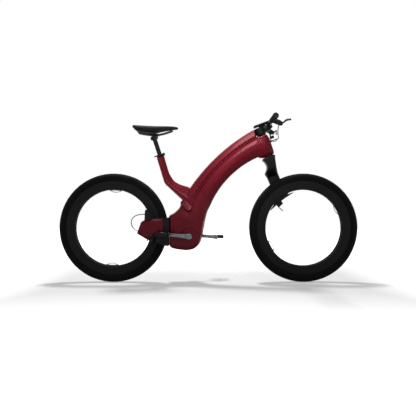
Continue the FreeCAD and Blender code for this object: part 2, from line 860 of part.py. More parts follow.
def make_lamp():
    """A small round lamp on a tab under the stem."""
    body = new_body("headlamp")
    centre = "(<head_base> + 104)"
    slope = "(<stem_height> - 30) / (<bar_reach> - 8)"
    rear, front = "(<head_radius> + 12)", "(<head_radius> + 18)"
    outline = straight(
        steer(centre, "<head_radius> + 7"),
        steer(f"{centre} + <lamp_radius>", "<head_radius> + 7"),
        steer(f"{centre} + <lamp_radius>", "<head_radius> + 7 + <lamp_length>"),
        steer(centre, "<head_radius> + 7 + <lamp_length>"))
    turned(body, outline, steer(centre, "0"), steer(centre, "100"))
    under = [f"{head_top} + <bearing_height> + ({place} - 24) * {slope}" for place in (rear, front)]
    tab = straight(steer(centre, rear), steer(under[0], rear), steer(under[1], front),
                   steer(centre, front))
    plate(body, tab, "4", "-4")


port = "(<head_base> + 83)"


def make_hose_port():
    """The short boss on the head's nose where both brake hoses go in."""
    body = new_body("hose_port")
    rear, front = "(<head_radius> + 2.4)", "(<head_radius> + 11)"
    outline = straight(steer(port, rear), steer(f"{port} + 7", rear), steer(f"{port} + 7", front),
                       steer(port, front))
    turned(body, outline, steer(port, "0"), steer(port, "100"))


def make_bar_hose(side, sign):
    """From under the lever's block, down and across to the port on the head."""
    x, z = (worth(v) for v in bar_centre)
    inner = size("bar_length") / 2 - size("grip_length") - 14
    mouth_x, mouth_z = (worth(v) for v in steer(port, "<head_radius> + 12.5"))
    route = [(x + 38, inner - 9, z - 27), (x + 34, inner - 12, z - 48), (x + 35, inner - 30, z - 68),
             (x + 41, inner - 64, z - 82), (x + 49, inner - 102, z - 88),
             (x + 55, inner - 138, z - 88), (mouth_x + 36, inner - 166, mouth_z + 12),
             (mouth_x + 26, 9, mouth_z + 9.5), (mouth_x, 3.6, mouth_z)]
    spots = [FreeCAD.Vector(a, sign * b, c) for a, b, c in route]
    keep_shape(f"brake_hose_{side}", [tube(spots, size("hose_radius"), f"brake_hose_{side}")])


def make_rear_hose():
    """From the rear arm's cover, round inside the wheel and back to the caliper."""
    x, z = (worth(v) for v in rear_hub)
    arm_y = -(size("tyre_width") / 2 + size("side_gap") + size("arm_thickness"))
    block_y = arm_y - size("caliper_thickness") / 2
    cover_y = arm_y - size("cover_thickness") / 2
    edge_x, edge_z = x + 157, z - 16.2
    route = [(edge_x, cover_y, edge_z), (edge_x - 16, cover_y, edge_z + 6),
             (124, cover_y, z + 8), (117, cover_y - 1, z + 31), (122, cover_y - 1, z + 55),
             (138, block_y, z + 73), (163, block_y, z + 82), (183, block_y, z + 84),
             (200, block_y, z + 84)]
    spots = [FreeCAD.Vector(*p) for p in route]
    keep_shape("rear_brake_hose", [tube(spots, size("hose_radius"), "rear_brake_hose")])


make_crown()
make_hose_port()
make_bar_hose("left", 1)
make_bar_hose("right", -1)
make_rear_hose()
make_leg()
make_steerer()
make_stem()
make_handlebar()
make_grip("grip_left", "<bar_length> / 2", "<bar_length> / 2 - <grip_length>")
make_grip("grip_right", "-<bar_length> / 2 + <grip_length>", "-<bar_length> / 2")
make_brake_lever("left", 1)
make_brake_lever("right", -1)
make_screen()
make_lamp()


# --- cranks and pedals ---

crank_outer = "(<crank_inner> + <crank_thickness>)"


def make_spindle():
    body = new_body("crank_spindle", bracket)
    bar_across(body, origin, "<spindle_radius>", "<crank_inner>")


def along_crank(sign, along, across):
    """A point by its distance out along a crank arm and across it, from the bracket."""
    angle = "<crank_angle>"
    return point(f"{sign} * ({along}) * cos({angle}) + ({across}) * sin({angle})",
                 f"-({sign}) * ({along}) * sin({angle}) + ({across}) * cos({angle})")


def make_crank(name, sign, high, low):
    """One arm. The right one points back and a little up."""
    body = new_body(name, bracket)
    far = "<crank_length>"
    taper = "(<crank_radius> - 2)"
    disc(body, origin, "<crank_radius> + 3", high, low)
    disc(body, along_crank(sign, far, "0"), taper, high, low)
    plate(body, straight(along_crank(sign, "0", f"-{taper}"), along_crank(sign, far, f"-{taper} + 2"),
                         along_crank(sign, far, f"{taper} - 2"), along_crank(sign, "0", taper)),
          high, low)


def make_pedals():
    for side, sign in (("right", -1), ("left", 1)):
        tread_in = f"({crank_outer} + <pedal_gap>)"
        tread_out = f"({tread_in} + <pedal_width>)"
        spans = {"arm": (crank_outer, "<crank_inner>"), "pin": (f"{tread_out} - 4", crank_outer),
                 "tread": (tread_out, tread_in)}
        if sign < 0:
            spans = {k: (f"-({low})", f"-({high})") for k, (high, low) in spans.items()}
        make_crank(f"crank_arm_{side}", sign, *spans["arm"])
        pin = new_body(f"pedal_pin_{side}", bracket)
        middle = along_crank(sign, "<crank_length>", "0")
        disc(pin, middle, "<pedal_pin_radius>", *spans["pin"])
        tread = new_body(f"pedal_{side}", beside(bracket, *middle))
        half = "<pedal_length> / 2"
        thick = "<pedal_thickness> / 2"
        outline = straight(point(f"-{half}", f"-{thick} + 5"), point(f"-{half} + 12", f"-{thick}"),
                           point(f"{half} - 12", f"-{thick}"), point(half, f"-{thick} + 5"),
                           point(half, f"{thick} - 5"), point(f"{half} - 12", thick),
                           point(f"-{half} + 12", thick), point(f"-{half}", f"{thick} - 5"))
        plate(tread, outline, *spans["tread"])
        disc(tread, origin, "<pedal_pin_radius> + <clearance>", *spans["tread"], cut=True)


make_spindle()
make_pedals()


# --- check everything, then write it ---

doc.recompute()
for thing in doc.Objects:
    for word in ("Invalid", "Error"):
        if word in thing.State:
            raise RuntimeError(f"{thing.Name} ({thing.Label}) is {thing.State}")
os.makedirs("parts", exist_ok=True)
for piece in pieces:
    shape = piece.Shape
    if shape.isNull() or not shape.isValid() or not shape.Solids:
        raise RuntimeError(f"{piece.Label} has no valid solid")
for piece in pieces:
    piece.Shape.exportStep(f"parts/{piece.Label}.step")
print(len(pieces), "pieces written")
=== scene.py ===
import bpy
import bmesh
import json
import math
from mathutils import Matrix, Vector


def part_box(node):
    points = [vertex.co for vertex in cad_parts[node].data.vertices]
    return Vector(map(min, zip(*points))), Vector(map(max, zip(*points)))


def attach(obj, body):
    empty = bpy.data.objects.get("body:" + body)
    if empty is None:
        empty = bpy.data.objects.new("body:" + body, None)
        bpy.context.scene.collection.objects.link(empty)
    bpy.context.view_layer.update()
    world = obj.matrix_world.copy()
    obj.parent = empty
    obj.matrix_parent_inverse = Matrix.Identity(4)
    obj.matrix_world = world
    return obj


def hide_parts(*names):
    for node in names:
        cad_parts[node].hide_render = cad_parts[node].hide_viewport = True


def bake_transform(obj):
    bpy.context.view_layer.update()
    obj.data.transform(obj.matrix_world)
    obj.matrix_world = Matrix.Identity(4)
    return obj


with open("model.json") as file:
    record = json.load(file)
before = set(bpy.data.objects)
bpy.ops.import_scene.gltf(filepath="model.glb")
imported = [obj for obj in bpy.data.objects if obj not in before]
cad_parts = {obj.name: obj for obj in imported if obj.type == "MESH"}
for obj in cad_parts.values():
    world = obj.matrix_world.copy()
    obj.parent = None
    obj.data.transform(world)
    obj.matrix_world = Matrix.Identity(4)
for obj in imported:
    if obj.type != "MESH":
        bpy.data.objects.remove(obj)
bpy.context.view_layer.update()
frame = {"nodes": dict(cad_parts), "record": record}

scene = bpy.context.scene


# where things are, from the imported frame

def middleOf(node):
    low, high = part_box(node)
    return Vector([(a + b) / 2 for a, b in zip(low, high)])


rearHub = middleOf("rear_rim")
frontHub = middleOf("front_rim")
crankAxis = middleOf("crank_spindle")
wheelRadius = (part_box("rear_tyre")[1][2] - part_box("rear_tyre")[0][2]) / 2
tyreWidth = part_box("rear_tyre")[1][1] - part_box("rear_tyre")[0][1]
floorHeight = rearHub.z - wheelRadius
drawingZero = rearHub.x, floorHeight   # the drawing's X = 0 and Z = 0, in this frame
frontAxle, axleHeight, forkOffset = 1168, 334, 45   # in the drawing, millimetres
steerTilt, mastTilt = math.radians(20), math.radians(18.2)


def place(x, z, y=0.0):
    # side-view drawing in millimetres, from the rear axle and the ground
    return Vector((drawingZero[0] + x / 1000, y / 1000, drawingZero[1] + z / 1000))


# small tools

def linear(hexColour):
    channels = [int(hexColour[i:i + 2], 16) / 255 for i in (1, 3, 5)]
    return tuple(c / 12.92 if c <= 0.04045 else ((c + 0.055) / 1.055) ** 2.4 for c in channels) + (1.0,)


def addNode(tree, kind, settings=None, links=None):
    # settings: attribute or input name to value; links: input name to an output socket
    node = tree.nodes.new(kind)
    for name, value in (settings or {}).items():
        if name in node.inputs.keys():
            node.inputs[name].default_value = value
        else:
            setattr(node, name, value)
    for name, socket in (links or {}).items():
        tree.links.new(socket, node.inputs[name])
    return node


def newMaterial(name, settings):
    material = bpy.data.materials.new(name)
    material.use_nodes = True
    tree = material.node_tree
    shader = tree.nodes["Principled BSDF"]
    for key, value in settings.items():
        shader.inputs[key].default_value = value
    return material, tree, shader


def objectCoordinates(tree):
    return addNode(tree, "ShaderNodeTexCoord").outputs["Object"]


def tint(tree, shader, pattern, low, high, lowAt=0.35, highAt=0.65):
    # the pattern moves the colour between two tones
    ramp = addNode(tree, "ShaderNodeValToRGB", links={"Fac": pattern})
    ends = ramp.color_ramp.elements
    ends[0].position, ends[1].position = lowAt, highAt
    ends[0].color, ends[1].color = linear(low), linear(high)
    tree.links.new(ramp.outputs["Color"], shader.inputs["Base Color"])


def sheen(tree, shader, pattern, low, high):
    # the pattern moves the roughness between two values
    spread = addNode(tree, "ShaderNodeMapRange", {"To Min": low, "To Max": high}, {"Value": pattern})
    tree.links.new(spread.outputs["Result"], shader.inputs["Roughness"])


def addBump(tree, shader, height, strength, distance):
    bump = addNode(tree, "ShaderNodeBump", {"Strength": strength, "Distance": distance},
                   {"Height": height})
    tree.links.new(bump.outputs["Normal"], shader.inputs["Normal"])
    return bump


# materials

def candyPaint():
    # candy red lacquer on aluminium, sprayed and polished: a deep wine red with fine flake
    # flake is about 0.3 mm across and is drawn at 1.2 mm, so that it shows
    material, tree, shader = newMaterial("candyRedLacquer", {
        "Metallic": 0.12, "Roughness": 0.36, "Coat Weight": 0.1, "Coat Roughness": 0.16,
        "Specular IOR Level": 0.1})
    spot = objectCoordinates(tree)
    flake = addNode(tree, "ShaderNodeTexVoronoi", {"Scale": 1 / 0.0012}, {"Vector": spot})
    tint(tree, shader, flake.outputs["Distance"], "#620616", "#860F26", 0.1, 0.7)
    cloud = addNode(tree, "ShaderNodeTexNoise", {"Scale": 9.0, "Detail": 3.0}, {"Vector": spot})
    sheen(tree, shader, cloud.outputs["Fac"], 0.32, 0.44)
    addBump(tree, shader, flake.outputs["Distance"], 0.01, 0.0001)
    return material


def anodisedAluminium():
    # black anodised aluminium, bead blasted first: a dull sheen with a fine grain
    # the grain is about 0.3 mm and is drawn at 1.5 mm, so that it shows
    material, tree, shader = newMaterial("blackAnodisedAluminium", {
        "Metallic": 0.5, "Roughness": 0.42, "Specular IOR Level": 0.2})
    spot = objectCoordinates(tree)
    grain = addNode(tree, "ShaderNodeTexNoise", {"Scale": 1 / 0.0015, "Detail": 2.0}, {"Vector": spot})
    cloud = addNode(tree, "ShaderNodeTexNoise", {"Scale": 14.0, "Detail": 3.0}, {"Vector": spot})
    tint(tree, shader, cloud.outputs["Fac"], "#0C0D0E", "#151617")
    sheen(tree, shader, cloud.outputs["Fac"], 0.36, 0.5)
    addBump(tree, shader, grain.outputs["Fac"], 0.12, 0.0002)
    return material


def satinRim():
    # deep rim, anodised black and satin, with a faint grain of about 1 mm
    material, tree, shader = newMaterial("satinBlackRim", {"Roughness": 0.6, "Specular IOR Level": 0.15})
    spot = objectCoordinates(tree)
    cloud = addNode(tree, "ShaderNodeTexNoise", {"Scale": 20.0, "Detail": 3.0}, {"Vector": spot})
    tint(tree, shader, cloud.outputs["Fac"], "#0A0A0B", "#111112")
    sheen(tree, shader, cloud.outputs["Fac"], 0.56, 0.68)
    fine = addNode(tree, "ShaderNodeTexNoise", {"Scale": 900.0}, {"Vector": spot})
    addBump(tree, shader, fine.outputs["Fac"], 0.08, 0.0002)
    return material


def polishedAlloy():
    # forged crank alloy, dark anodised and then buffed, so that its edges catch the light
    material, tree, shader = newMaterial("buffedDarkAlloy", {"Metallic": 1.0, "Roughness": 0.3})
    spot = objectCoordinates(tree)
    cloud = addNode(tree, "ShaderNodeTexNoise", {"Scale": 50.0, "Detail": 3.0}, {"Vector": spot})
    tint(tree, shader, cloud.outputs["Fac"], "#55565A", "#6C6D72")
    sheen(tree, shader, cloud.outputs["Fac"], 0.24, 0.38)
    return material


def screenGlass():
    # hardened cover glass over a dark display, with a faint smear across it
    material, tree, shader = newMaterial("coverGlass", {"IOR": 1.5, "Roughness": 0.1})
    spot = objectCoordinates(tree)
    smear = addNode(tree, "ShaderNodeTexNoise", {"Scale": 35.0, "Detail": 4.0}, {"Vector": spot})
    tint(tree, shader, smear.outputs["Fac"], "#050607", "#0A0B0D")
    sheen(tree, shader, smear.outputs["Fac"], 0.06, 0.2)
    return material


def tyreRubber():
    # vulcanised rubber: nearly black and matt, with a little dust in patches of 15 mm
    material, tree, shader = newMaterial("vulcanisedRubber", {"Roughness": 0.78, "Specular IOR Level": 0.1})
    spot = objectCoordinates(tree)
    dust = addNode(tree, "ShaderNodeTexNoise", {"Scale": 60.0, "Detail": 5.0}, {"Vector": spot})
    tint(tree, shader, dust.outputs["Fac"], "#0E0E0E", "#151515")
    sheen(tree, shader, dust.outputs["Fac"], 0.66, 0.86)
    fine = addNode(tree, "ShaderNodeTexNoise", {"Scale": 700.0, "Detail": 2.0}, {"Vector": spot})
    addBump(tree, shader, fine.outputs["Fac"], 0.2, 0.0003)
    return material


def satinSteel():
    # ground steel with a light satin, for pins, rails and rings
    material, tree, shader = newMaterial("satinSteel", {"Metallic": 1.0, "Roughness": 0.32})
    spot = objectCoordinates(tree)
    cloud = addNode(tree, "ShaderNodeTexNoise", {"Scale": 40.0, "Detail": 3.0}, {"Vector": spot})
    tint(tree, shader, cloud.outputs["Fac"], "#2C2D30", "#3A3B3E")
    sheen(tree, shader, cloud.outputs["Fac"], 0.25, 0.4)
    return material


def mouldedNylon(name="glassFilledNylon", low="#0C0C0D", high="#131415", rough=(0.48, 0.62)):
    # moulded black nylon with a spark-eroded grain of 0.8 mm, drawn at 1.2 mm so that it shows
    material, tree, shader = newMaterial(name, {"Roughness": 0.5, "Specular IOR Level": 0.15})
    spot = objectCoordinates(tree)
    grain = addNode(tree, "ShaderNodeTexVoronoi", {"Scale": 1 / 0.0012}, {"Vector": spot})
    cloud = addNode(tree, "ShaderNodeTexNoise", {"Scale": 30.0, "Detail": 3.0}, {"Vector": spot})
    tint(tree, shader, cloud.outputs["Fac"], low, high)
    sheen(tree, shader, cloud.outputs["Fac"], *rough)
    addBump(tree, shader, grain.outputs["Distance"], 0.18, 0.0003)
    return material


def clearAcrylic():
    # moulded clear acrylic, with 3 mm prisms on its back that break up what is behind
    # its IOR is below the usual 1.49, so that the thin panes stay clear at their edges
    material, tree, shader = newMaterial("clearAcrylic", {"IOR": 1.2, "Roughness": 0.05,
                                                          "Transmission Weight": 0.95})
    spot = objectCoordinates(tree)
    prism = addNode(tree, "ShaderNodeTexVoronoi", {"Scale": 1 / 0.003}, {"Vector": spot})
    tint(tree, shader, prism.outputs["Distance"], "#F0F2F2", "#FFFFFF", 0.1, 0.8)
    sheen(tree, shader, prism.outputs["Distance"], 0.03, 0.12)
    addBump(tree, shader, prism.outputs["Distance"], 0.1, 0.0002)
    return material


def syntheticLeather():
    # coated saddle cloth: matt black with an embossed pebble grain about 2 mm across
    material, tree, shader = newMaterial("syntheticLeather", {"Roughness": 0.7, "Specular IOR Level": 0.15})
    spot = objectCoordinates(tree)
    pebble = addNode(tree, "ShaderNodeTexVoronoi", {"Scale": 1 / 0.0022}, {"Vector": spot})
    cloud = addNode(tree, "ShaderNodeTexNoise", {"Scale": 25.0, "Detail": 4.0}, {"Vector": spot})
    tint(tree, shader, cloud.outputs["Fac"], "#0B0B0B", "#121213")
    sheen(tree, shader, cloud.outputs["Fac"], 0.62, 0.8)
    addBump(tree, shader, pebble.outputs["Distance"], 0.35, 0.0004)
    return material


paint = candyPaint()
aluminium = anodisedAluminium()
rimFinish = satinRim()
rubber = tyreRubber()
steel = satinSteel()
nylon = mouldedNylon()
gripRubber = mouldedNylon("softGripRubber", "#111111", "#1B1B1B", (0.7, 0.85))
hoseJacket = mouldedNylon("hoseJacket", "#0E0E0F", "#161617", (0.35, 0.45))
acrylic = clearAcrylic()
leather = syntheticLeather()
alloy = polishedAlloy()
glass = screenGlass()
print("materials made")

finishOf = {
    "red_paint": paint, "black_aluminium": aluminium, "steel": steel, "black_rim": rimFinish,
    "tyre_rubber": rubber, "roller_nylon": nylon, "clear_plastic": acrylic,
    "black_plastic": nylon, "grip_rubber": gripRubber, "hose_rubber": hoseJacket,
    "saddle_cover": leather,
}
sides = ((-1, "right"), (1, "left"))


# camera, light and floor

studio = {
    "distance": 3.1, "height": 0.474, "aim": 581, "lens": 43.5, "drop": -0.0072,
    "ambient": 0.05, "floorLift": 0.42, "floorGrey": 0.56, "floorDark": 0.05,
    # distances at which the floor's painted glow starts to lift it to white and makes it white, along X and Y
    "glowAlong": (0.9, 1.7), "glowAcross": (0.35, 2.2),
    # name, place, size, watts, how far it spreads in degrees and what it points at
    "lamps": [("front", (0.5, -1.5, 0.6), 0.5, 1.6, 44, (0.38, 0, -0.02)),
              ("key", (-0.3, -1.0, 2.5), 1.2, 9, 180, (0.3, 0, -0.4)),
              ("top", (0.1, 0.8, 2.4), 0.4, 84, 180, (0.3, 0, -0.4))],
}


def whiteBehind(tree, plain, seen):
    # one value for what the camera, a gloss or clear plastic sees, and another for plain light
    rays = addNode(tree, "ShaderNodeLightPath")
    looks = rays.outputs["Is Camera Ray"]
    for name in ("Is Transmission Ray", "Is Glossy Ray"):
        more = addNode(tree, "ShaderNodeMath", {"operation": "MAXIMUM"})
        tree.links.new(looks, more.inputs[0])
        tree.links.new(rays.outputs[name], more.inputs[1])
        looks = more.outputs["Value"]
    return addNode(tree, "ShaderNodeMapRange", {"To Min": plain, "To Max": seen},
                   {"Value": looks}).outputs["Result"]


def makeCamera():
    eye = place(studio["aim"], studio["height"] * 1000, -studio["distance"] * 1000)
    camera = bpy.data.objects.new("camera", bpy.data.cameras.new("camera"))
    camera.location = eye
    camera.rotation_euler = (math.radians(90), 0, 0)
    camera.data.lens = studio["lens"]
    camera.data.sensor_width = 36
    camera.data.shift_y = studio["drop"]
    scene.collection.objects.link(camera)
    scene.camera = camera


def makeFloor():
    # matt studio floor with a painted glow that lifts it to white away from the bicycle, so that no horizon
    # shows; nearer the bicycle the floor stays darker, as painted shade around it
    floorMaterial, tree, shader = newMaterial("paleFloor", {"Roughness": 0.95, "Specular IOR Level": 0.0,
                                                            "Base Color": linear("#FFFFFF")})
    split = addNode(tree, "ShaderNodeSeparateXYZ", links={"Vector": objectCoordinates(tree)})
    glowRamps = []
    for name, centre, (near, far) in (("X", place(studio["aim"], 0).x, studio["glowAlong"]),
                                      ("Y", 0.0, studio["glowAcross"])):
        offset = addNode(tree, "ShaderNodeMath", {"operation": "SUBTRACT"})
        tree.links.new(split.outputs[name], offset.inputs[0])
        offset.inputs[1].default_value = centre
        reach = addNode(tree, "ShaderNodeMath", {"operation": "ABSOLUTE"},
                        {"Value": offset.outputs["Value"]})
        glowRamps.append(addNode(tree, "ShaderNodeMapRange", {"From Min": near, "From Max": far},
                             {"Value": reach.outputs["Value"]}).outputs["Result"])
    # painted glow: the farther the floor is from the bicycle, the brighter it is made, so it stays darker
    # close to the bicycle
    glowAway = addNode(tree, "ShaderNodeMath", {"operation": "MAXIMUM"})
    for k, glowRamp in enumerate(glowRamps):
        tree.links.new(glowRamp, glowAway.inputs[k])
    shade = whiteBehind(tree, studio["floorDark"], studio["floorGrey"])
    tree.links.new(shade, shader.inputs["Base Color"])
    seen = whiteBehind(tree, 0.0, studio["floorLift"])
    white = whiteBehind(tree, 0.0, 1.0)
    # the camera, glosses and clear plastic see the painted glow; plain light does not
    back = addNode(tree, "ShaderNodeMath", {"operation": "MULTIPLY"})
    tree.links.new(glowAway.outputs["Value"], back.inputs[0])
    tree.links.new(white, back.inputs[1])
    both = addNode(tree, "ShaderNodeMath", {"operation": "ADD"})
    tree.links.new(back.outputs["Value"], both.inputs[0])
    tree.links.new(seen, both.inputs[1])
    tree.links.new(both.outputs["Value"], shader.inputs["Emission Strength"])
    shader.inputs["Emission Color"].default_value = (1, 1, 1, 1)
    mesh = bpy.data.meshes.new("floor")
    build = bmesh.new()
    corners = [(-6, -5), (6, -5), (6, 7), (-6, 7)]
    build.faces.new([build.verts.new((x, y, floorHeight)) for x, y in corners])
    build.to_mesh(mesh)
    build.free()
    floor = bpy.data.objects.new("floor", mesh)
    mesh.materials.append(floorMaterial)
    scene.collection.objects.link(floor)


def makeLight():
    world = bpy.data.worlds.new("studio")
    scene.world = world
    world.use_nodes = True
    background = world.node_tree.nodes["Background"]
    background.inputs["Color"].default_value = (1, 1, 1, 1)
    seen = whiteBehind(world.node_tree, studio["ambient"], 1.0)
    world.node_tree.links.new(seen, background.inputs["Strength"])

    for name, at, size, power, spread, target in studio["lamps"]:
        lamp = bpy.data.lights.new(name, "AREA")
        lamp.size = size
        lamp.energy = power
        lamp.spread = math.radians(spread)
        holder = bpy.data.objects.new(name, lamp)
        holder.location = at
        holder.rotation_euler = (Vector(target) - Vector(at)).to_track_quat("-Z", "Y").to_euler()
        scene.collection.objects.link(holder)
    scene.view_settings.view_transform = "Standard"


makeCamera()
makeFloor()
makeLight()
print("studio ready")


# mesh tools

def finishMesh(name, build, material, body, subdivide=0, sharp=None):
    bmesh.ops.recalc_face_normals(build, faces=build.faces)
    mesh = bpy.data.meshes.new(name)
    build.to_mesh(mesh)
    build.free()
    for face in mesh.polygons:
        face.use_smooth = True
    if sharp:
        mesh.set_sharp_from_angle(angle=math.radians(sharp))
    mesh.materials.append(material)
    piece = bpy.data.objects.new(name, mesh)
    scene.collection.objects.link(piece)
    if subdivide:
        rounding = piece.modifiers.new("rounding", "SUBSURF")
        rounding.levels = subdivide
        rounding.render_levels = subdivide
    if body:
        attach(piece, body)
    return piece


def loftRings(build, rings, closed=False, caps=True):
    # joins rings that have the same number of points
    count = len(rings[0])
    verts = [[build.verts.new(p) for p in ring] for ring in rings]
    last = len(verts) if closed else len(verts) - 1
    for i in range(last):
        here, there = verts[i], verts[(i + 1) % len(verts)]
        for k in range(count):
            following = (k + 1) % count
            build.faces.new((here[k], here[following], there[following], there[k]))
    if caps and not closed:
        build.faces.new(list(reversed(verts[0])))
        build.faces.new(verts[-1])
    return verts


# frame shell

def arcPlaces(first, last, radius, steps):
    # places along the short arc that turns left between two places of the side view
    acrossX, acrossZ = last[0] - first[0], last[1] - first[1]
    chord = math.hypot(acrossX, acrossZ)
    away = math.sqrt(radius ** 2 - (chord / 2) ** 2) / chord
    centre = ((first[0] + last[0]) / 2 - acrossZ * away, (first[1] + last[1]) / 2 + acrossX * away)
    start = math.atan2(first[1] - centre[1], first[0] - centre[0])
    sweep = 2 * math.asin(chord / 2 / radius)
    turns = [start + sweep * k / steps for k in range(steps + 1)]
    return [(centre[0] + radius * math.cos(a), centre[1] + radius * math.sin(a)) for a in turns]


def between(low, high, share):
    if isinstance(low, tuple):
        return tuple(between(a, b, share) for a, b in zip(low, high))
    return low + (high - low) * share


def through(before, first, last, after, share):
    # smooth curve through four numbers, or tuples of numbers
    if isinstance(first, tuple):
        return tuple(through(*four, share) for four in zip(before, first, last, after))
    square, cube = share ** 2, share ** 3
    return 0.5 * (2 * first + (last - before) * share + (2 * before - 5 * first + 4 * last - after) * square
                  + (3 * first - before - 3 * last + after) * cube)


def smoothed(stations, steps):
    padded = [stations[0]] + stations + [stations[-1]]
    found = []
    for k in range(len(stations) - 1):
        for step in range(steps):
            found.append(through(*padded[k:k + 4], step / steps))
    return found + [stations[-1]]


def shellRing(top, under, half, shares):
    ring = []
    for side in (-1, 1):
        run = shares if side < 0 else list(reversed(shares[1:-1]))
        for along, out in run:
            x, z = between(top, under, along)
            ring.append(place(x, z, side * out * half))
    return ring


# share of the way from the top edge to the under edge, and share of the half width
shellShape = {
    "nose": [(0, 0), (0.01, 0.5), (0.03, 0.7), (0.06, 0.8), (0.09, 0.85), (0.12, 0.9), (0.15, 0.92),
             (0.18, 0.95), (0.25, 0.98), (0.4, 1), (0.57, 0.98), (0.62, 0.93), (0.84, 0.6), (0.97, 0.3),
             (1, 0)],
    "notch": [(0, 0), (0.01, 0.4), (0.03, 0.6), (0.05, 0.66), (0.07, 0.66), (0.09, 0.66), (0.1, 0.66),
              (0.13, 0.86), (0.2, 0.94), (0.4, 1), (0.59, 0.97), (0.64, 0.9), (0.86, 0.48), (0.97, 0.2),
              (1, 0)],
    "tube": [(0, 0), (0.015, 0.4), (0.05, 0.6), (0.24, 0.8), (0.265, 0.79), (0.3, 0.66), (0.335, 0.66),
             (0.37, 0.86), (0.42, 0.94), (0.55, 1), (0.7, 0.97), (0.735, 0.9), (0.9, 0.48), (0.98, 0.2),
             (1, 0)],
    "housing": [(0, 0), (0, 0.5), (0.03, 0.82), (0.1, 0.93), (0.18, 0.97), (0.26, 0.98), (0.36, 1),
                (0.45, 1), (0.55, 1), (0.66, 1), (0.78, 0.99), (0.87, 0.94), (0.95, 0.8), (0.99, 0.45),
                (1, 0)],
    # top edge, under edge and half width, from the nose back to the stem's notch
    "head": [((961, 874), (988, 797), 18), ((956, 887), (986, 790), 25), ((944, 905), (975, 782), 34),
             ((930, 911.5), (958, 775.5), 37), ((905, 903), (925, 762), 39),
             ((876.5, 893), (899, 763), 40)],
    # first place, last place and radius of each edge of the tube
    "topArc": ((860, 937), (488, 605), 1164), "underArc": ((889, 768), (594, 468), 570),
    "tubeSteps": 64, "tubeHalf": 40.5, "tubeFlare": 2,
    "motor": [((488, 605), (594, 468), 43), ((456, 560), (580, 441), 46), ((431, 520), (572, 415), 50),
              ((415, 486), (566, 390), 54), ((405, 457), (561, 366), 57), ((374, 426), (557, 342), 60.4),
              ((344, 407), (553, 318), 60.6), ((343, 362), (549, 296), 60.6),
              ((343, 312), (545, 277), 60.6), ((343, 264), (537, 251), 60.6),
              ((343, 234), (521, 225), 60), ((356, 214), (494, 205), 56), ((388, 205), (458, 198), 49)],
    "motorSteps": 4, "blendRings": 20,
}


def makeShell():
    build = bmesh.new()
    rings = []
    head = shellShape["head"]
    for k, (top, under, half) in enumerate(head):
        share = k / (len(head) - 1)
        shape = [between(a, b, share) for a, b in zip(shellShape["nose"], shellShape["notch"])]
        rings.append(shellRing(top, under, half, shape))
    steps = shellShape["tubeSteps"]
    tops = arcPlaces(*shellShape["topArc"], steps)
    unders = arcPlaces(*shellShape["underArc"], steps)
    for k in range(steps):
        half = shellShape["tubeHalf"] + shellShape["tubeFlare"] * k / steps
        rings.append(shellRing(tops[k], unders[k], half, shellShape["tube"]))
    motor = smoothed(shellShape["motor"], shellShape["motorSteps"])
    for k, (top, under, half) in enumerate(motor):
        share = min(1, k / shellShape["blendRings"])
        shape = [between(a, b, share) for a, b in zip(shellShape["tube"], shellShape["housing"])]
        rings.append(shellRing(top, under, half, shape))
    loftRings(build, rings)
    shell = finishMesh("frame_shell", build, paint, "frame", sharp=26)
    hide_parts("main_tube", "motor_housing")


makeShell()

# rear or lower edge, front or upper edge, half width
mastShape = {
    "stations": [((265, 763), (311, 777), 23), ((281, 711), (326, 722), 24), ((297, 658), (343, 668), 24),
                 ((311, 612), (366, 630), 26), ((322, 597), (378, 618), 27), ((348, 573), (402, 604), 30),
                 ((380, 543), (430, 594), 33), ((412, 513), (458, 586), 37), ((440, 487), (486, 572), 40)],
    "shape": [(0, 0), (0.02, 0.5), (0.09, 0.88), (0.3, 1), (0.34, 0.99), (0.38, 0.95), (0.86, 0.5),
              (0.97, 0.3), (1, 0)],
    "steps": 3,
}


def makeMastShell():
    build = bmesh.new()
    rings = []
    stations = mastShape["stations"]
    for k, first in enumerate(stations[:-1]):
        for step in range(mastShape["steps"]):
            share = step / mastShape["steps"]
            rings.append(shellRing(*between(first, stations[k + 1], share), mastShape["shape"]))
    rings.append(shellRing(*stations[-1], mastShape["shape"]))
    loftRings(build, rings)
    shell = finishMesh("mast_shell", build, paint, "frame", sharp=20)
    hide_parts("seat_mast")


makeMastShell()

# levels: scale of the outline and distance from the middle plane
boss = {"at": (450, 471), "length": 74, "width": 38, "lean": -42, "rise": 12, "steps": 10,
        "levels": ((1.12, 48), (1.06, 55), (0.97, 58), (0.6, 58.5), (0.2, 58.6)), "foot": 50}


def makeBosses():
    # raised lozenge low on each side of the shell, its face turned a little upwards
    turn = math.radians(boss["lean"])
    straight = boss["length"] - boss["width"]
    for side, name in sides:
        build = bmesh.new()
        rings = []
        for scale, out in boss["levels"]:
            ring = []
            for end in (1, -1):
                for k in range(boss["steps"] + 1):
                    angle = math.pi * k / boss["steps"] - math.pi / 2
                    along = end * (straight / 2 + boss["width"] / 2 * math.cos(angle))
                    across = end * boss["width"] / 2 * math.sin(angle)
                    x = (along * math.cos(turn) - across * math.sin(turn)) * scale
                    z = (along * math.sin(turn) + across * math.cos(turn)) * scale
                    tilt = -boss["rise"] * z / boss["length"] * 2 if out > boss["foot"] else 0
                    ring.append(place(boss["at"][0] + x, boss["at"][1] + z, side * (out + tilt)))
            rings.append(ring)
        loftRings(build, rings)
        finishMesh("shell_boss_" + name, build, paint, "frame", sharp=40)


makeBosses()
print("frame shells made")


# fork

def steerPlace(along, ahead, y=0.0):
    # distance up the steering axis and ahead of it, in millimetres
    ahead -= forkOffset
    return place(frontAxle + ahead * math.cos(steerTilt) - along * math.sin(steerTilt),
                 axleHeight + ahead * math.sin(steerTilt) + along * math.cos(steerTilt), y)


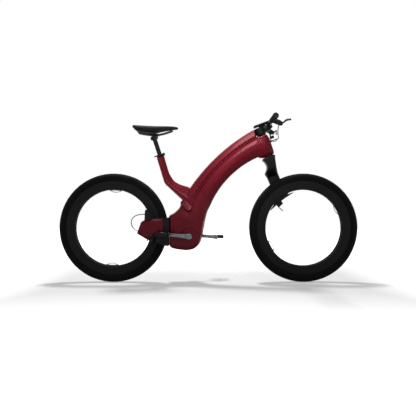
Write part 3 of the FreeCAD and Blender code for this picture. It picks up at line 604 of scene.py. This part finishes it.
# height on the steering axis, rear and front edge, right and left edge
forkShape = {
    "stations": [(483, -40, 30, -34, 34), (479, -50, 32, -36, 37), (470, -47, 29, -36, 40),
                 (456, -40, 25, -36, 44), (440, -36, 22, -36, 50), (424, -37, 19, -33, 56),
                 (408, -46, 17, -25, 60), (396, -57, 18, -10, 62), (384, -60, 19, 12, 62.4),
                 (368, -55, 20, 32, 62.4), (352, -52, 20, 37.6, 62.4), (300, -50, 20, 37.6, 62.4),
                 (262, -51, 18, 37.6, 62.4), (236, -50, 14, 38, 62)],
    "corner": 13, "cornerSteps": 4, "steps": 3,
}


def makeFork():
    build = bmesh.new()
    rings = []
    for along, rear, front, right, left in smoothed(forkShape["stations"], forkShape["steps"]):
        corner = min(forkShape["corner"], (left - right) / 2.4)
        ring = []
        low, high = right + corner, left - corner
        back, fore = rear + corner, front - corner
        for ahead, y, start in ((fore, high, 0), (back, high, 90), (back, low, 180), (fore, low, 270)):
            for step in range(forkShape["cornerSteps"] + 1):
                angle = math.radians(start + 90 * step / forkShape["cornerSteps"])
                reach = corner * math.cos(angle)
                ring.append(steerPlace(along, ahead + reach, y + corner * math.sin(angle)))
        rings.append(ring)
    loftRings(build, rings)
    fork = finishMesh("fork_shell", build, aluminium, "steering", sharp=40)
    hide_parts("fork_crown")


makeFork()
print("fork made")


# tyres

# angles in degrees from the crown, the rest in metres
tread = {"segments": 240, "steps": 36, "end": 135, "grooves": (4, 38), "pitch": 7.5, "grooveDepth": 0.0011,
         "every": 4, "shoulder": 47, "line": 4, "ridge": 0.0003, "wear": 0.0004, "crown": 10, "bead": 0.0232}


def tyreRing(half, i):
    ring = []
    end = math.radians(tread["end"])
    for k in range(tread["steps"] + 1):
        angle = -end + 2 * end * k / tread["steps"]
        reach = half
        lean = abs(math.degrees(angle))
        row = int(lean / tread["pitch"])
        if tread["grooves"][0] < lean < tread["grooves"][1] and (i + row) % tread["every"] == 0:
            reach -= tread["grooveDepth"]
        if abs(lean - tread["shoulder"]) < tread["line"]:
            reach += tread["ridge"]
        elif lean > tread["crown"]:
            reach -= tread["wear"]
        y = reach * math.sin(angle)
        if lean > 90 and abs(y) < tread["bead"]:
            y = math.copysign(tread["bead"], y)
        ring.append((reach * math.cos(angle), y))
    return ring


def makeTyre(name, hub, body):
    # smooth round tyre with fine herringbone grooves on the crown and a moulded line at each shoulder
    build = bmesh.new()
    half = tyreWidth / 2
    centre = wheelRadius - half
    rings = []
    for i in range(tread["segments"]):
        turn = 2 * math.pi * i / tread["segments"]
        ring = []
        for out, y in tyreRing(half, i):
            r = centre + out
            ring.append(Vector((hub.x + r * math.cos(turn), hub.y + y, hub.z + r * math.sin(turn))))
        rings.append(ring)
    loftRings(build, rings, closed=True)
    tyre = finishMesh(name + "_cover", build, rubber, body)
    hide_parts(name)


makeTyre("rear_tyre", rearHub, "rear_wheel")
makeTyre("front_tyre", frontHub, "front_wheel")
print("tyres made")


# shaping tools

def inset(outline, amount):
    # a closed outline drawn smaller by an even margin
    area = sum(a[0] * b[1] - b[0] * a[1] for a, b in zip(outline, outline[1:] + outline[:1]))
    turn = 1 if area > 0 else -1
    found = []
    for before, here, after in zip(outline[-1:] + outline[:-1], outline, outline[1:] + outline[:1]):
        inward = [0, 0]
        for a, b in ((before, here), (here, after)):
            length = math.dist(a, b)
            inward[0] -= (b[1] - a[1]) / length * turn
            inward[1] += (b[0] - a[0]) / length * turn
        scale = amount / max(0.4, (inward[0] ** 2 + inward[1] ** 2) / 2)
        found.append((here[0] + inward[0] * scale, here[1] + inward[1] * scale))
    return found


def oblong(x, z, farX, farZ):
    return [(x, z), (farX, z), (farX, farZ), (x, farZ)]


def rounded(outline, radius, steps=4):
    found = []
    for before, here, after in zip(outline[-1:] + outline[:-1], outline, outline[1:] + outline[:1]):
        back, ahead = math.dist(here, before), math.dist(here, after)
        reach = min(radius, back / 2.2, ahead / 2.2)
        first = between(tuple(here), tuple(before), reach / back)
        last = between(tuple(here), tuple(after), reach / ahead)
        for k in range(steps + 1):
            share = k / steps
            leaving, arriving = between(first, tuple(here), share), between(tuple(here), last, share)
            found.append(between(leaving, arriving, share))
    return found


def slab(build, outline, low, high, bevel, at=place):
    # a plate between two levels, its edges bevelled in two steps
    rings = []
    for level, margin in ((low, bevel), (low + bevel * 0.3, bevel * 0.3), (low + bevel, 0),
                          (high - bevel, 0), (high - bevel * 0.3, bevel * 0.3), (high, bevel)):
        rings.append([at(x, z, level) for x, z in inset(outline, margin)])
    loftRings(build, rings)


def turned(build, profile, centre, axis, segments=36, hollow=False):
    # profile: distance along the axis and radius, in millimetres
    axis = Vector(axis).normalized()
    side = axis.orthogonal().normalized()
    up = axis.cross(side)
    rings = []
    for along, radius in profile:
        angles = [2 * math.pi * k / segments for k in range(segments)]
        rings.append([centre + axis * along / 1000 + (side * math.cos(a) + up * math.sin(a)) * radius / 1000
                      for a in angles])
    loftRings(build, rings, closed=hollow, caps=not hollow)


def screw(build, centre, axis, radius, height=3.0):
    # socket head with a six-sided recess
    axis = Vector(axis).normalized()
    side = axis.orthogonal().normalized()
    up = axis.cross(side)
    rings = []
    recess = height * 0.3
    profile = [(-1, radius), (height - 0.7, radius), (height - 0.2, radius - 0.3), (height, radius - 0.8),
               (height, radius * 0.56), (recess, radius * 0.52)]
    for n, (along, reach) in enumerate(profile):
        ring = []
        for k in range(24):
            angle = 2 * math.pi * k / 24
            reachHere = reach
            if n >= 4:
                reachHere = reach * 0.9 / math.cos(angle % (math.pi / 3) - math.pi / 6)
            ring.append(centre + axis * along / 1000
                        + (side * math.cos(angle) + up * math.sin(angle)) * reachHere / 1000)
        rings.append(ring)
    loftRings(build, rings)


def tubeAlong(build, spots, radius, sides=12):
    # round tube through points in this frame; radius may be one number or one for each point
    radii = radius if isinstance(radius, list) else [radius] * len(spots)
    side = None
    rings = []
    for k, spot in enumerate(spots):
        ahead = (spots[min(k + 1, len(spots) - 1)] - spots[max(k - 1, 0)]).normalized()
        side = ahead.orthogonal() if side is None else side - ahead * side.dot(ahead)
        side.normalize()
        up = ahead.cross(side)
        angles = [2 * math.pi * n / sides for n in range(sides)]
        rings.append([spot + (side * math.cos(a) + up * math.sin(a)) * radii[k] / 1000 for a in angles])
    loftRings(build, rings)


def curveThrough(points, steps):
    return [Vector(spot) for spot in smoothed([tuple(p) for p in points], steps)]


def steerAt(ahead, along, y):
    return steerPlace(along, ahead, y)


def plan(ahead, y, along):
    return steerPlace(along, ahead, y)


mastTop = 288, 770


def mastPlace(along, ahead, y=0.0):
    return place(mastTop[0] + ahead * math.cos(mastTilt) - along * math.sin(mastTilt),
                 mastTop[1] + ahead * math.sin(mastTilt) + along * math.cos(mastTilt), y)


def mastAt(ahead, along, y):
    return mastPlace(along, ahead, y)


sideways = Vector((0, 1, 0))
steerAxis = steerPlace(1000, 45) - steerPlace(0, 45)
steerAhead = steerPlace(0, 100) - steerPlace(0, 0)
mastAxis = mastPlace(1000, 0) - mastPlace(0, 0)
barCentre = steerPlace(667, 60)
barX = (barCentre.x - drawingZero[0]) * 1000
barZ = (barCentre.z - drawingZero[1]) * 1000


# motor covers, rear arm and its covers

def makeMotorCovers():
    for side, name in reversed(sides):
        build = bmesh.new()
        profile = [(48.4, 61.6), (60.6, 61.6), (61.4, 60.6), (61.6, 58), (61.6, 51), (60.6, 50.2),
                   (60.6, 46.8), (61.6, 46), (61.9, 30), (61.9, 17), (60.9, 16), (60.9, 12.4), (48.4, 12.4)]
        turned(build, profile, crankAxis, (0, side, 0), 72, hollow=True)
        cover = finishMesh("motor_cap_" + name, build, paint, "frame", sharp=30)
        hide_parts("motor_cover_" + name)


makeMotorCovers()

armShape = {
    "cover": [(151, 302), (211, 266), (306, 313), (308, 390), (198, 384), (177, 371)],
    # distance from the middle plane and how far in from the outline
    "levels": ((-62, 0), (-66, 0), (-67.5, 1.2), (-72.5, 9), (-74, 12)),
    "guard": [(268, 304), (345, 307), (345, 225), (312, 228), (262, 246)],
    "caliper": [(198, 382), (238, 384), (238, 418), (219, 433), (216, 444), (203, 447), (200, 434)],
    "carrierRadius": 250, "screwAngles": (-17, -8, 1, 12),
}


def makeArmPieces():
    build = bmesh.new()
    rings = []
    for y, margin in armShape["levels"]:
        rings.append([place(x, z, y) for x, z in rounded(inset(armShape["cover"], margin), 5, 3)])
    loftRings(build, rings)
    cover = finishMesh("arm_cover_shell", build, paint, "frame", sharp=24)
    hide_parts("rear_arm_cover")
    build = bmesh.new()
    slab(build, rounded(armShape["guard"], 7), -62, -38, 3)
    guard = finishMesh("guard_shell", build, nylon, "frame", sharp=30)
    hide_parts("lower_guard")
    build = bmesh.new()
    slab(build, rounded(armShape["caliper"], 3), -75.5, -62, 2)
    for x, z in ((226, 398), (228, 414)):
        screw(build, place(x, z, -75.2), (0, -1, 0), 3.4)
    caliper = finishMesh("rear_caliper_body", build, aluminium, "frame", sharp=35)
    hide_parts("rear_caliper")
    build = bmesh.new()
    reach = armShape["carrierRadius"]
    for angle in armShape["screwAngles"]:
        turn = math.radians(angle)
        screw(build, place(reach * math.cos(turn), axleHeight + reach * math.sin(turn), -62), (0, -1, 0), 3.6)
    for x, z in ((180, 345), (200, 300)):
        screw(build, place(x, z, -73.6), (0, -1, 0), 3.0, 1.4)
    for x, z in ((330, 290), (330, 240), (284, 262)):
        screw(build, place(x, z, -62), (0, -1, 0), 3.4)
    finishMesh("arm_screws", build, steel, "frame", sharp=35)


makeArmPieces()

lining = {"rear": -38, "front": -34.6, "low": 626, "high": 668, "half": 22}


def makeHeadFittings():
    # rubber lining behind the stem and the two headset rings
    build = bmesh.new()
    outline = oblong(lining["rear"], lining["low"], lining["front"], lining["high"])
    slab(build, rounded(outline, 1), -lining["half"], lining["half"], 1, steerAt)
    finishMesh("notch_lining", build, gripRubber, "frame", sharp=30)
    for name, low, high, wide in (("lower", 480.2, 487, 30), ("upper", 623, 629.6, 29)):
        build = bmesh.new()
        profile = [(low, wide - 1), (low + 1, wide), (low + 2.4, wide), (low + 3, wide - 0.8),
                   (low + 3.8, wide), (high - 1, wide), (high, wide - 1), (high, 15), (low, 15)]
        turned(build, profile, steerPlace(0, 0), steerAxis, 48, hollow=True)
        ring = finishMesh("headset_" + name, build, aluminium, "frame", sharp=35)
        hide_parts(name + "_head_bearing")
    build = bmesh.new()
    port = steerPlace(569, 0)
    turned(build, [(35, 7), (38, 7), (38.6, 6.2), (40, 6.2), (40.6, 7), (43, 7), (44.8, 5.6), (45, 3.2)],
           port, steerAhead, 28)
    boss = finishMesh("hose_grommet", build, gripRubber, "frame", sharp=35)
    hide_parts("hose_port")


makeHeadFittings()
print("frame fittings made")


# cockpit

def makeStem():
    build = bmesh.new()
    collar = [(630.6, 31), (632, 33), (640, 33), (641, 32), (643, 32), (644, 33), (668, 33), (670, 31)]
    turned(build, collar, steerPlace(0, 0), steerAxis, 48)
    outline = rounded([(-6, 631), (-6, 669.5), (58, 669.5), (74, 664), (77, 646), (54, 634), (26, 631)], 5)
    slab(build, outline, -24, 24, 4, steerAt)
    sleeve = [(-25, 12.6), (-24, 13.8), (-6, 13.8), (-5, 13.2), (5, 13.2), (6, 13.8), (24, 13.8), (25, 12.6)]
    turned(build, sleeve, barCentre, sideways, 36)
    for y in (-16, 16):
        for along in (650, 660):
            screw(build, steerPlace(along, 75.5, y), steerAhead, 3.2)
        screw(build, steerPlace(640 + y / 4, -20, y * 1.5), (0, y, 0), 3.0)
    stem = finishMesh("stem_block", build, aluminium, "steering", sharp=32)
    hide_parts("stem")


makeStem()


def makeScreen():
    build = bmesh.new()
    body = rounded(oblong(-30, -31, 82, 31), 9, 6)
    slab(build, body, 680, 690.6, 2.4, plan)
    slab(build, rounded(oblong(0, -15, 42, 15), 4), 669, 681, 1.5, plan)
    for ahead in (8, 26, 44):
        slab(build, rounded(oblong(ahead, 682.5, ahead + 12, 687.5), 2), 30.2, 32, 0.6, steerAt)
    screen = finishMesh("screen_body", build, nylon, "steering", sharp=32)
    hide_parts("screen")
    build = bmesh.new()
    slab(build, inset(body, 3.4), 690.2, 691.6, 0.5, plan)
    finishMesh("screen_glass", build, glass, "steering", sharp=32)


makeScreen()


def makeLamp():
    build = bmesh.new()
    centre = steerPlace(590, 0)
    turned(build, [(41, 5.5), (42, 8), (44, 8.8), (50, 8.8), (50.6, 8.2), (52, 8.2), (52.6, 8.8), (61, 8.8),
                   (62, 9), (66.4, 9), (67, 8.4), (67, 7.4), (64.6, 7)], centre, steerAhead, 40)
    slab(build, rounded([(45, 596), (51, 596), (52, 632), (45, 631)], 2), -4, 4, 1, steerAt)
    lamp = finishMesh("lamp_body", build, aluminium, "steering", sharp=32)
    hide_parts("headlamp")
    build = bmesh.new()
    turned(build, [(64.6, 7.2), (66.2, 7.2), (67.4, 5.6), (68, 3), (68.2, 0.4)], centre, steerAhead, 40)
    finishMesh("lamp_lens", build, glass, "steering", sharp=60)


makeLamp()

grip = {"start": 210, "end": 340, "collar": 17, "rib": 16.5, "groove": 15.4, "bore": 11.4, "ribs": 15}


def gripProfile():
    start, end = grip["start"], grip["end"]
    bore, collar, rib, groove = grip["bore"], grip["collar"], grip["rib"], grip["groove"]
    profile = [(start, bore), (start, 16), (start + 1, collar), (start + 4, collar), (start + 5, 15.6)]
    pitch = (end - 8 - start - 6) / grip["ribs"]
    for k in range(grip["ribs"]):
        foot = start + 6 + k * pitch
        profile += [(foot, groove), (foot + pitch * 0.2, rib), (foot + pitch * 0.7, rib),
                    (foot + pitch * 0.9, groove)]
    return profile + [(end - 8, 16.2), (end - 5, collar), (end - 1.5, 16.8), (end, 15.4), (end, bore)]


def makeGrips():
    end = grip["end"]
    for side, name in sides:
        build = bmesh.new()
        turned(build, gripProfile(), barCentre, (0, side, 0), 40, hollow=True)
        handle = finishMesh("grip_sleeve_" + name, build, gripRubber, "steering", sharp=40)
        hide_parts("grip_" + name)
        build = bmesh.new()
        plug = [(end - 12, 8), (end - 1.2, 8.4), (end - 1.2, 11.2), (end - 0.2, 11.2), (end, 10),
                (end - 0.8, 6), (end - 0.8, 1)]
        turned(build, plug, barCentre, (0, side, 0), 32)
        finishMesh("bar_plug_" + name, build, aluminium, "steering", sharp=35)


makeGrips()

# from the bar's centre, X and Z, and along the bar from the clamp's middle
brake = {
    "middle": 187,
    "body": [(6, -16), (30, -26), (56, -33), (61, -22), (60, -10), (34, 2), (14, 9)],
    "cap": [(20, 2), (46, -7), (49, -2), (23, 7)],
    "clamp": [(177, 16), (178, 17.2), (184, 17.2), (185, 16.4), (189, 16.4), (190, 17.2), (196, 17.2),
              (197, 16)],
    "lever": [(61, 0, -16), (67, 5, -11), (75, 16, -5), (80, 34, -4), (84, 60, -7), (87, 86, -11),
              (87.5, 100, -13)],
}


def leverRings(side):
    rings = []
    route = curveThrough(brake["lever"], 5)
    for k, spot in enumerate(route):
        share = k / (len(route) - 1)
        wide = 3.0 - 0.5 * math.sin(math.pi * share)
        tall = 5.2 + 1.6 * math.sin(math.pi * min(1, share * 1.3))
        ahead = (route[min(k + 1, len(route) - 1)] - route[max(k - 1, 0)]).normalized()
        across = ahead.cross(Vector((0, 0, 1))).normalized()
        ring = []
        for n in range(16):
            angle = 2 * math.pi * n / 16
            point = spot + across * wide * math.cos(angle) + Vector((0, 0, 1)) * tall * math.sin(angle)
            ring.append(place(barX + point.x, barZ + point.z, side * (brake["middle"] + point.y)))
        rings.append(ring)
    return rings


def makeBrakes():
    middle = brake["middle"]
    for side, name in sides:
        build = bmesh.new()
        turned(build, brake["clamp"], barCentre, (0, side, 0), 40)
        low, high = sorted((side * (middle - 9), side * (middle + 9)))
        body = [(barX + x, barZ + z) for x, z in brake["body"]]
        slab(build, rounded(body, 5), low - 1, high + 1, 3.5)
        cap = [(barX + x, barZ + z) for x, z in brake["cap"]]
        slab(build, rounded(cap, 2), low + 2, high - 2, 1)
        for x, z in ((27, 4.6), (43, -1.4)):
            screw(build, place(barX + x, barZ + z, side * middle), (0.3, 0, 1), 2.0, 1.2)
        screw(build, place(barX + 54, barZ - 24, side * 178.5), (0, -side, 0), 4.0, 2.0)
        turned(build, [(0, 4.6), (3, 4.6), (3.6, 3.8), (8, 3.8)], place(barX + 38, barZ - 24, side * middle),
               (0, 0, -1), 20)
        clamp = finishMesh("brake_body_" + name, build, aluminium, "steering", sharp=32)
        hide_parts("brake_clamp_" + name)
        build = bmesh.new()
        loftRings(build, leverRings(side))
        turned(build, [(-5.4, 2), (-4.4, 4.4), (-1.6, 6), (1.6, 6), (4.4, 4.4), (5.4, 2)],
               place(barX + 87.5, barZ - 13, side * (middle + 100)), (0, 0, 1), 24)
        blade = finishMesh("brake_lever_" + name, build, aluminium, "steering", sharp=50)
        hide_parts("brake_blade_" + name)


makeBrakes()
print("cockpit made")


# hoses

# from the bar's centre, X, Y and Z
hoseRoute = [(38, 187, -27), (34, 184, -48), (35, 166, -68), (41, 132, -82), (49, 94, -88), (55, 58, -88)]


def makeHoses():
    mouth = steerPlace(569, 46.5)
    mouthX = (mouth.x - drawingZero[0]) * 1000
    mouthZ = (mouth.z - drawingZero[1]) * 1000
    for side, name in sides:
        spots = [place(barX + x, barZ + z, side * y) for x, y, z in hoseRoute]
        spots += [place(mouthX + 36, mouthZ + 12, side * 30), place(mouthX + 26, mouthZ + 9.5, side * 9),
                  place(mouthX, mouthZ, side * 3.6)]
        build = bmesh.new()
        path = curveThrough(spots, 8)
        tubeAlong(build, path, 2.5, 14)
        hose = finishMesh("hose_run_" + name, build, hoseJacket, None)
        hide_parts("brake_hose_" + name)
        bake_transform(hose)


makeHoses()
print("hoses made")


# seat post fittings

def makeSeatFittings():
    build = bmesh.new()
    band = [(0.4, 20.6), (1.4, 21.6), (6, 21.6), (6.6, 21), (9.4, 21), (10, 21.6), (14.8, 21.6),
            (16, 20.4), (16, 13.8), (0.4, 13.8)]
    turned(build, band, mastPlace(0, 0), mastAxis, 48, hollow=True)
    lug = rounded(oblong(19.5, 1, 31.5, 15), 3)
    slab(build, lug, 1, 8, 1, mastAt)
    slab(build, lug, -8, -1, 1, mastAt)
    collar = finishMesh("collar_ring", build, aluminium, "frame", sharp=32)
    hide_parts("seat_collar")
    build = bmesh.new()
    pivot = [(-31, 6.6), (-30, 8), (-15, 8), (-14, 6.6), (-14, 3), (22, 3), (22, 4.6), (17, 6), (9, 6)]
    turned(build, pivot, mastPlace(8, 25.6), sideways, 28)
    arm = [(8, 4), (24, 3), (26, 8), (24, 13), (0, 13.5), (-20, 13), (-34, 12), (-35, 8), (-33, 6),
           (-10, 4.5)]
    slab(build, rounded(arm, 2), -31, -23.4, 1.8, mastAt)
    lever = finishMesh("collar_handle", build, aluminium, "frame", sharp=35)
    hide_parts("collar_lever")

    build = bmesh.new()
    neck = [(-20, 112), (20, 112), (24, 122), (22, 132), (6, 140), (-20, 132), (-24, 122)]
    slab(build, rounded(neck, 4), -15, 15, 3, mastAt)
    for y in (-22, 22):
        slab(build, rounded([(216, 901), (284, 901), (280, 910.4), (222, 910.4)], 4), y - 6, y + 6, 1.6)
    slab(build, rounded([(226, 899), (276, 899), (272, 909), (230, 909)], 3), -20, 20, 1.5)
    for x, lean in ((228, -0.3), (274, 0.3)):
        screw(build, place(x, 903, 0), (lean, 0, -1), 4, 4)
    clamp = finishMesh("rail_clamp", build, aluminium, "seat", sharp=32)
    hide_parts("saddle_clamp")


makeSeatFittings()
print("seat fittings made")


# reflectors

# angle of the first one and distance from the middle plane, for each wheel
reflector = {"rear": (87.5, 12.5), "front": (28.7, -12.5), "inner": 233.2, "deep": 217, "half": 9.8,
             "steps": 22, "beadSides": 8, "beadOut": 0.0016, "beadAcross": 0.003}


def lensOutline(middle):
    # the rim's arc on one side and a shallow dip on the other
    rim, low = [], []
    for k in range(reflector["steps"] + 1):
        share = 2 * k / reflector["steps"] - 1
        angle = math.radians(middle + share * reflector["half"])
        dip = math.cos(share * math.pi / 2) ** 0.8
        reach = reflector["inner"] - (reflector["inner"] - reflector["deep"]) * dip
        rim.append((reflector["inner"] * math.cos(angle), reflector["inner"] * math.sin(angle)))
        low.append((reach * math.cos(angle), reach * math.sin(angle)))
    return rim + list(reversed(low))[1:-1]


def makeReflectors():
    sideCount = reflector["beadSides"]
    for end, hub, body in (("rear", rearHub, "rear_wheel"), ("front", frontHub, "front_wheel")):
        def at(x, z, y):
            return Vector((hub.x + x / 1000, y / 1000, hub.z + z / 1000))
        middle, level = reflector[end]
        pane, frameRing = bmesh.new(), bmesh.new()
        for turn in (0, 180):
            outline = lensOutline(middle + turn)
            slab(pane, inset(outline, 1.0), level - 1.2, level + 1.2, 0.4, at)
            loop = [at(x, z, level) for x, z in inset(outline, 1.6)]
            rings = []
            for n, spot in enumerate(loop):
                along = (loop[(n + 1) % len(loop)] - loop[n - 1]).normalized()
                out = along.cross(sideways)
                ring = []
                for m in range(sideCount):
                    angle = 2 * math.pi * m / sideCount
                    ring.append(spot + out * math.cos(angle) * reflector["beadOut"]
                                + sideways * math.sin(angle) * reflector["beadAcross"])
                rings.append(ring)
            loftRings(frameRing, rings, closed=True)
        clear = finishMesh(end + "_reflector_panes", pane, acrylic, body, sharp=40)
        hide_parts(end + "_reflectors")
        finishMesh(end + "_reflector_frames", frameRing, nylon, body, sharp=60)


makeReflectors()
print("reflectors made")


# rims

# radius and distance from the middle plane, for one half
rimSection = [(289, -20.5), (287, -22), (280, -23), (262, -23), (241, -23), (234.6, -20.6), (233.5, -18),
              (233.5, -10), (238.5, -10), (238.5, -17), (262, -17)]
rimSegments = 200


def makeRims():
    for name, hub, body in (("rear_rim", rearHub, "rear_wheel"), ("front_rim", frontHub, "front_wheel")):
        section = rounded(rimSection + [(r, -y) for r, y in reversed(rimSection)], 1.4, 3)
        build = bmesh.new()
        rings = []
        for k in range(rimSegments):
            turn = 2 * math.pi * k / rimSegments
            rings.append([Vector((hub.x + r * math.cos(turn) / 1000, hub.y + y / 1000,
                                  hub.z + r * math.sin(turn) / 1000)) for r, y in section])
        loftRings(build, rings, closed=True)
        rim = finishMesh(name + "_ring", build, rimFinish, body, sharp=35)
        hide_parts(name)


makeRims()
print("rims made")


# cranks and pedals

crankTilt = math.radians(5)


def crankAt(side):
    # out along the arm, across it, and the distance from the middle plane
    def at(along, across, y):
        x = side * along * math.cos(crankTilt) + across * math.sin(crankTilt)
        z = -side * along * math.sin(crankTilt) + across * math.cos(crankTilt)
        return Vector((crankAxis.x + x / 1000, y / 1000, crankAxis.z + z / 1000))
    return at


# length to the pedal's axis, end radii, and points along the arm with its half width
crank = {"length": 165, "hub": 18, "eye": 13, "arm": ((24, 13.6), (60, 11), (120, 9.6), (148, 11)),
         "inner": 84, "outer": 97, "bevel": 2.6}


def crankOutline():
    outline = []
    for k in range(13):
        angle = math.pi * (0.5 + k / 12)
        outline.append((crank["hub"] * math.cos(angle), crank["hub"] * math.sin(angle)))
    outline += [(along, -half) for along, half in crank["arm"]]
    for k in range(13):
        angle = math.pi * (-0.5 + k / 12)
        outline.append((crank["length"] + crank["eye"] * math.cos(angle), crank["eye"] * math.sin(angle)))
    return outline + list(reversed(crank["arm"]))


def makeCranks():
    for side, name in sides:
        low, high = sorted((side * crank["inner"], side * crank["outer"]))
        build = bmesh.new()
        slab(build, crankOutline(), low, high, crank["bevel"], crankAt(side))
        turned(build, [(94, 12), (97.6, 12), (98.4, 11), (98.4, 8), (96.4, 7.4), (96.4, 4), (97.2, 3)],
               crankAxis, (0, side, 0), 36)
        arm = finishMesh("crank_blade_" + name, build, alloy, "crank", sharp=28)
        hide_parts("crank_arm_" + name)


makeCranks()


pedal = {"inner": 103, "outer": 195, "end": 9, "halfLength": 46, "halfHeight": 8, "rail": 42}
# places along the pedal, distance in from its end, and the pin's foot and tip
pedalPins = ((-43, 5, 6, 10), (-15, 5, 6, 10), (15, 5, 6, 10), (43, 5, 6, 10), (-43, 30, 5, 9.4),
             (43, 30, 5, 9.4))


def makePedals():
    for side, name in sides:
        centre = crankAt(side)(crank["length"], 0, 0)
        low, high = sorted((side * pedal["inner"], side * pedal["outer"]))

        def at(x, z, y):
            return centre + Vector((x / 1000, y / 1000, z / 1000))
        build = bmesh.new()
        for x in (-pedal["rail"], pedal["rail"]):
            slab(build, rounded(oblong(x - 6, -7, x + 6, 7), 3), low, high, 1.5, at)
        ends = rounded(oblong(-pedal["halfLength"], -pedal["halfHeight"], pedal["halfLength"],
                              pedal["halfHeight"]), 5)
        slab(build, ends, low, low + pedal["end"], 1.5, at)
        slab(build, ends, high - pedal["end"], high, 1.5, at)
        slab(build, rounded(oblong(-13, -9, 13, 9), 6), low + 4, high - 4, 2, at)
        for x in (-26, 26):
            slab(build, rounded(oblong(x - 3, -5, x + 3, 5), 2), low + 4, high - 4, 1, at)
        for x, inward, foot, tip in pedalPins:
            for y in (low + inward, high - inward):
                for up in (-1, 1):
                    turned(build, [(foot, 2.4), (foot + 3, 2.2), (tip, 1.6)], at(x, 0, y), (0, 0, up), 10)
        cage = finishMesh("pedal_cage_" + name, build, nylon, "pedal_" + name + "_body",
                          sharp=35)
        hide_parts("pedal_" + name)


makePedals()
print("cranks and pedals made")


# front foot

foot = {"angles": (112, 120, 136, 144), "radius": 250, "face": 62}


def makeFrontFoot():
    build = bmesh.new()
    reach = foot["radius"]
    for angle in foot["angles"]:
        turn = math.radians(angle)
        at = place(frontAxle + reach * math.cos(turn), axleHeight + reach * math.sin(turn), foot["face"])
        screw(build, at, (0, 1, 0), 3.8)
    finishMesh("foot_screws", build, steel, "steering", sharp=35)


makeFrontFoot()


# saddle

saddleShape = {
    # distance forward from the tail, half width, top height and underside height
    "stations": [(0, 42, 2, -13), (8, 58, 3, -22), (28, 71, 2, -41), (65, 70, 0, -47),
                 (105, 58, -1, -51), (140, 43, -2, -47), (170, 34, -2, -40), (205, 27, -2, -33),
                 (240, 22, -3, -27), (268, 17, -6, -24), (280, 9, -12, -22)],
    # share of the half width, and share of the way down
    "section": [(0.0, 0.0), (0.45, 0.04), (0.8, 0.16), (0.97, 0.42), (1.0, 0.68), (0.92, 0.95),
                (0.6, 0.9), (0.0, 0.8)],
}


def makeSaddle():
    build = bmesh.new()
    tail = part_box("saddle")[0][0]
    section = saddleShape["section"]
    rings = []
    for along, half, top, under in saddleShape["stations"]:
        ring = []
        for side, shares in ((-1, section), (1, list(reversed(section[1:-1])))):
            for out, down in shares:
                z = top + (under - top) * down
                ring.append(Vector((tail + along / 1000, side * out * half / 1000, z / 1000)))
        rings.append(ring)
    loftRings(build, rings)
    saddle = finishMesh("saddle_pad", build, leather, "seat", subdivide=2)
    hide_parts("saddle")


makeSaddle()
print("saddle made")


# finishes on the nodes that stay

def dressNodes():
    slotOf = {entry["node"]: entry["material_slot"] for entry in frame["record"]["subparts"]}
    for name, thing in frame["nodes"].items():
        material = finishOf[slotOf[name]]
        if not thing.material_slots:
            thing.data.materials.append(material)
        for holder in thing.material_slots:
            holder.material = material


dressNodes()
print("finishes set")
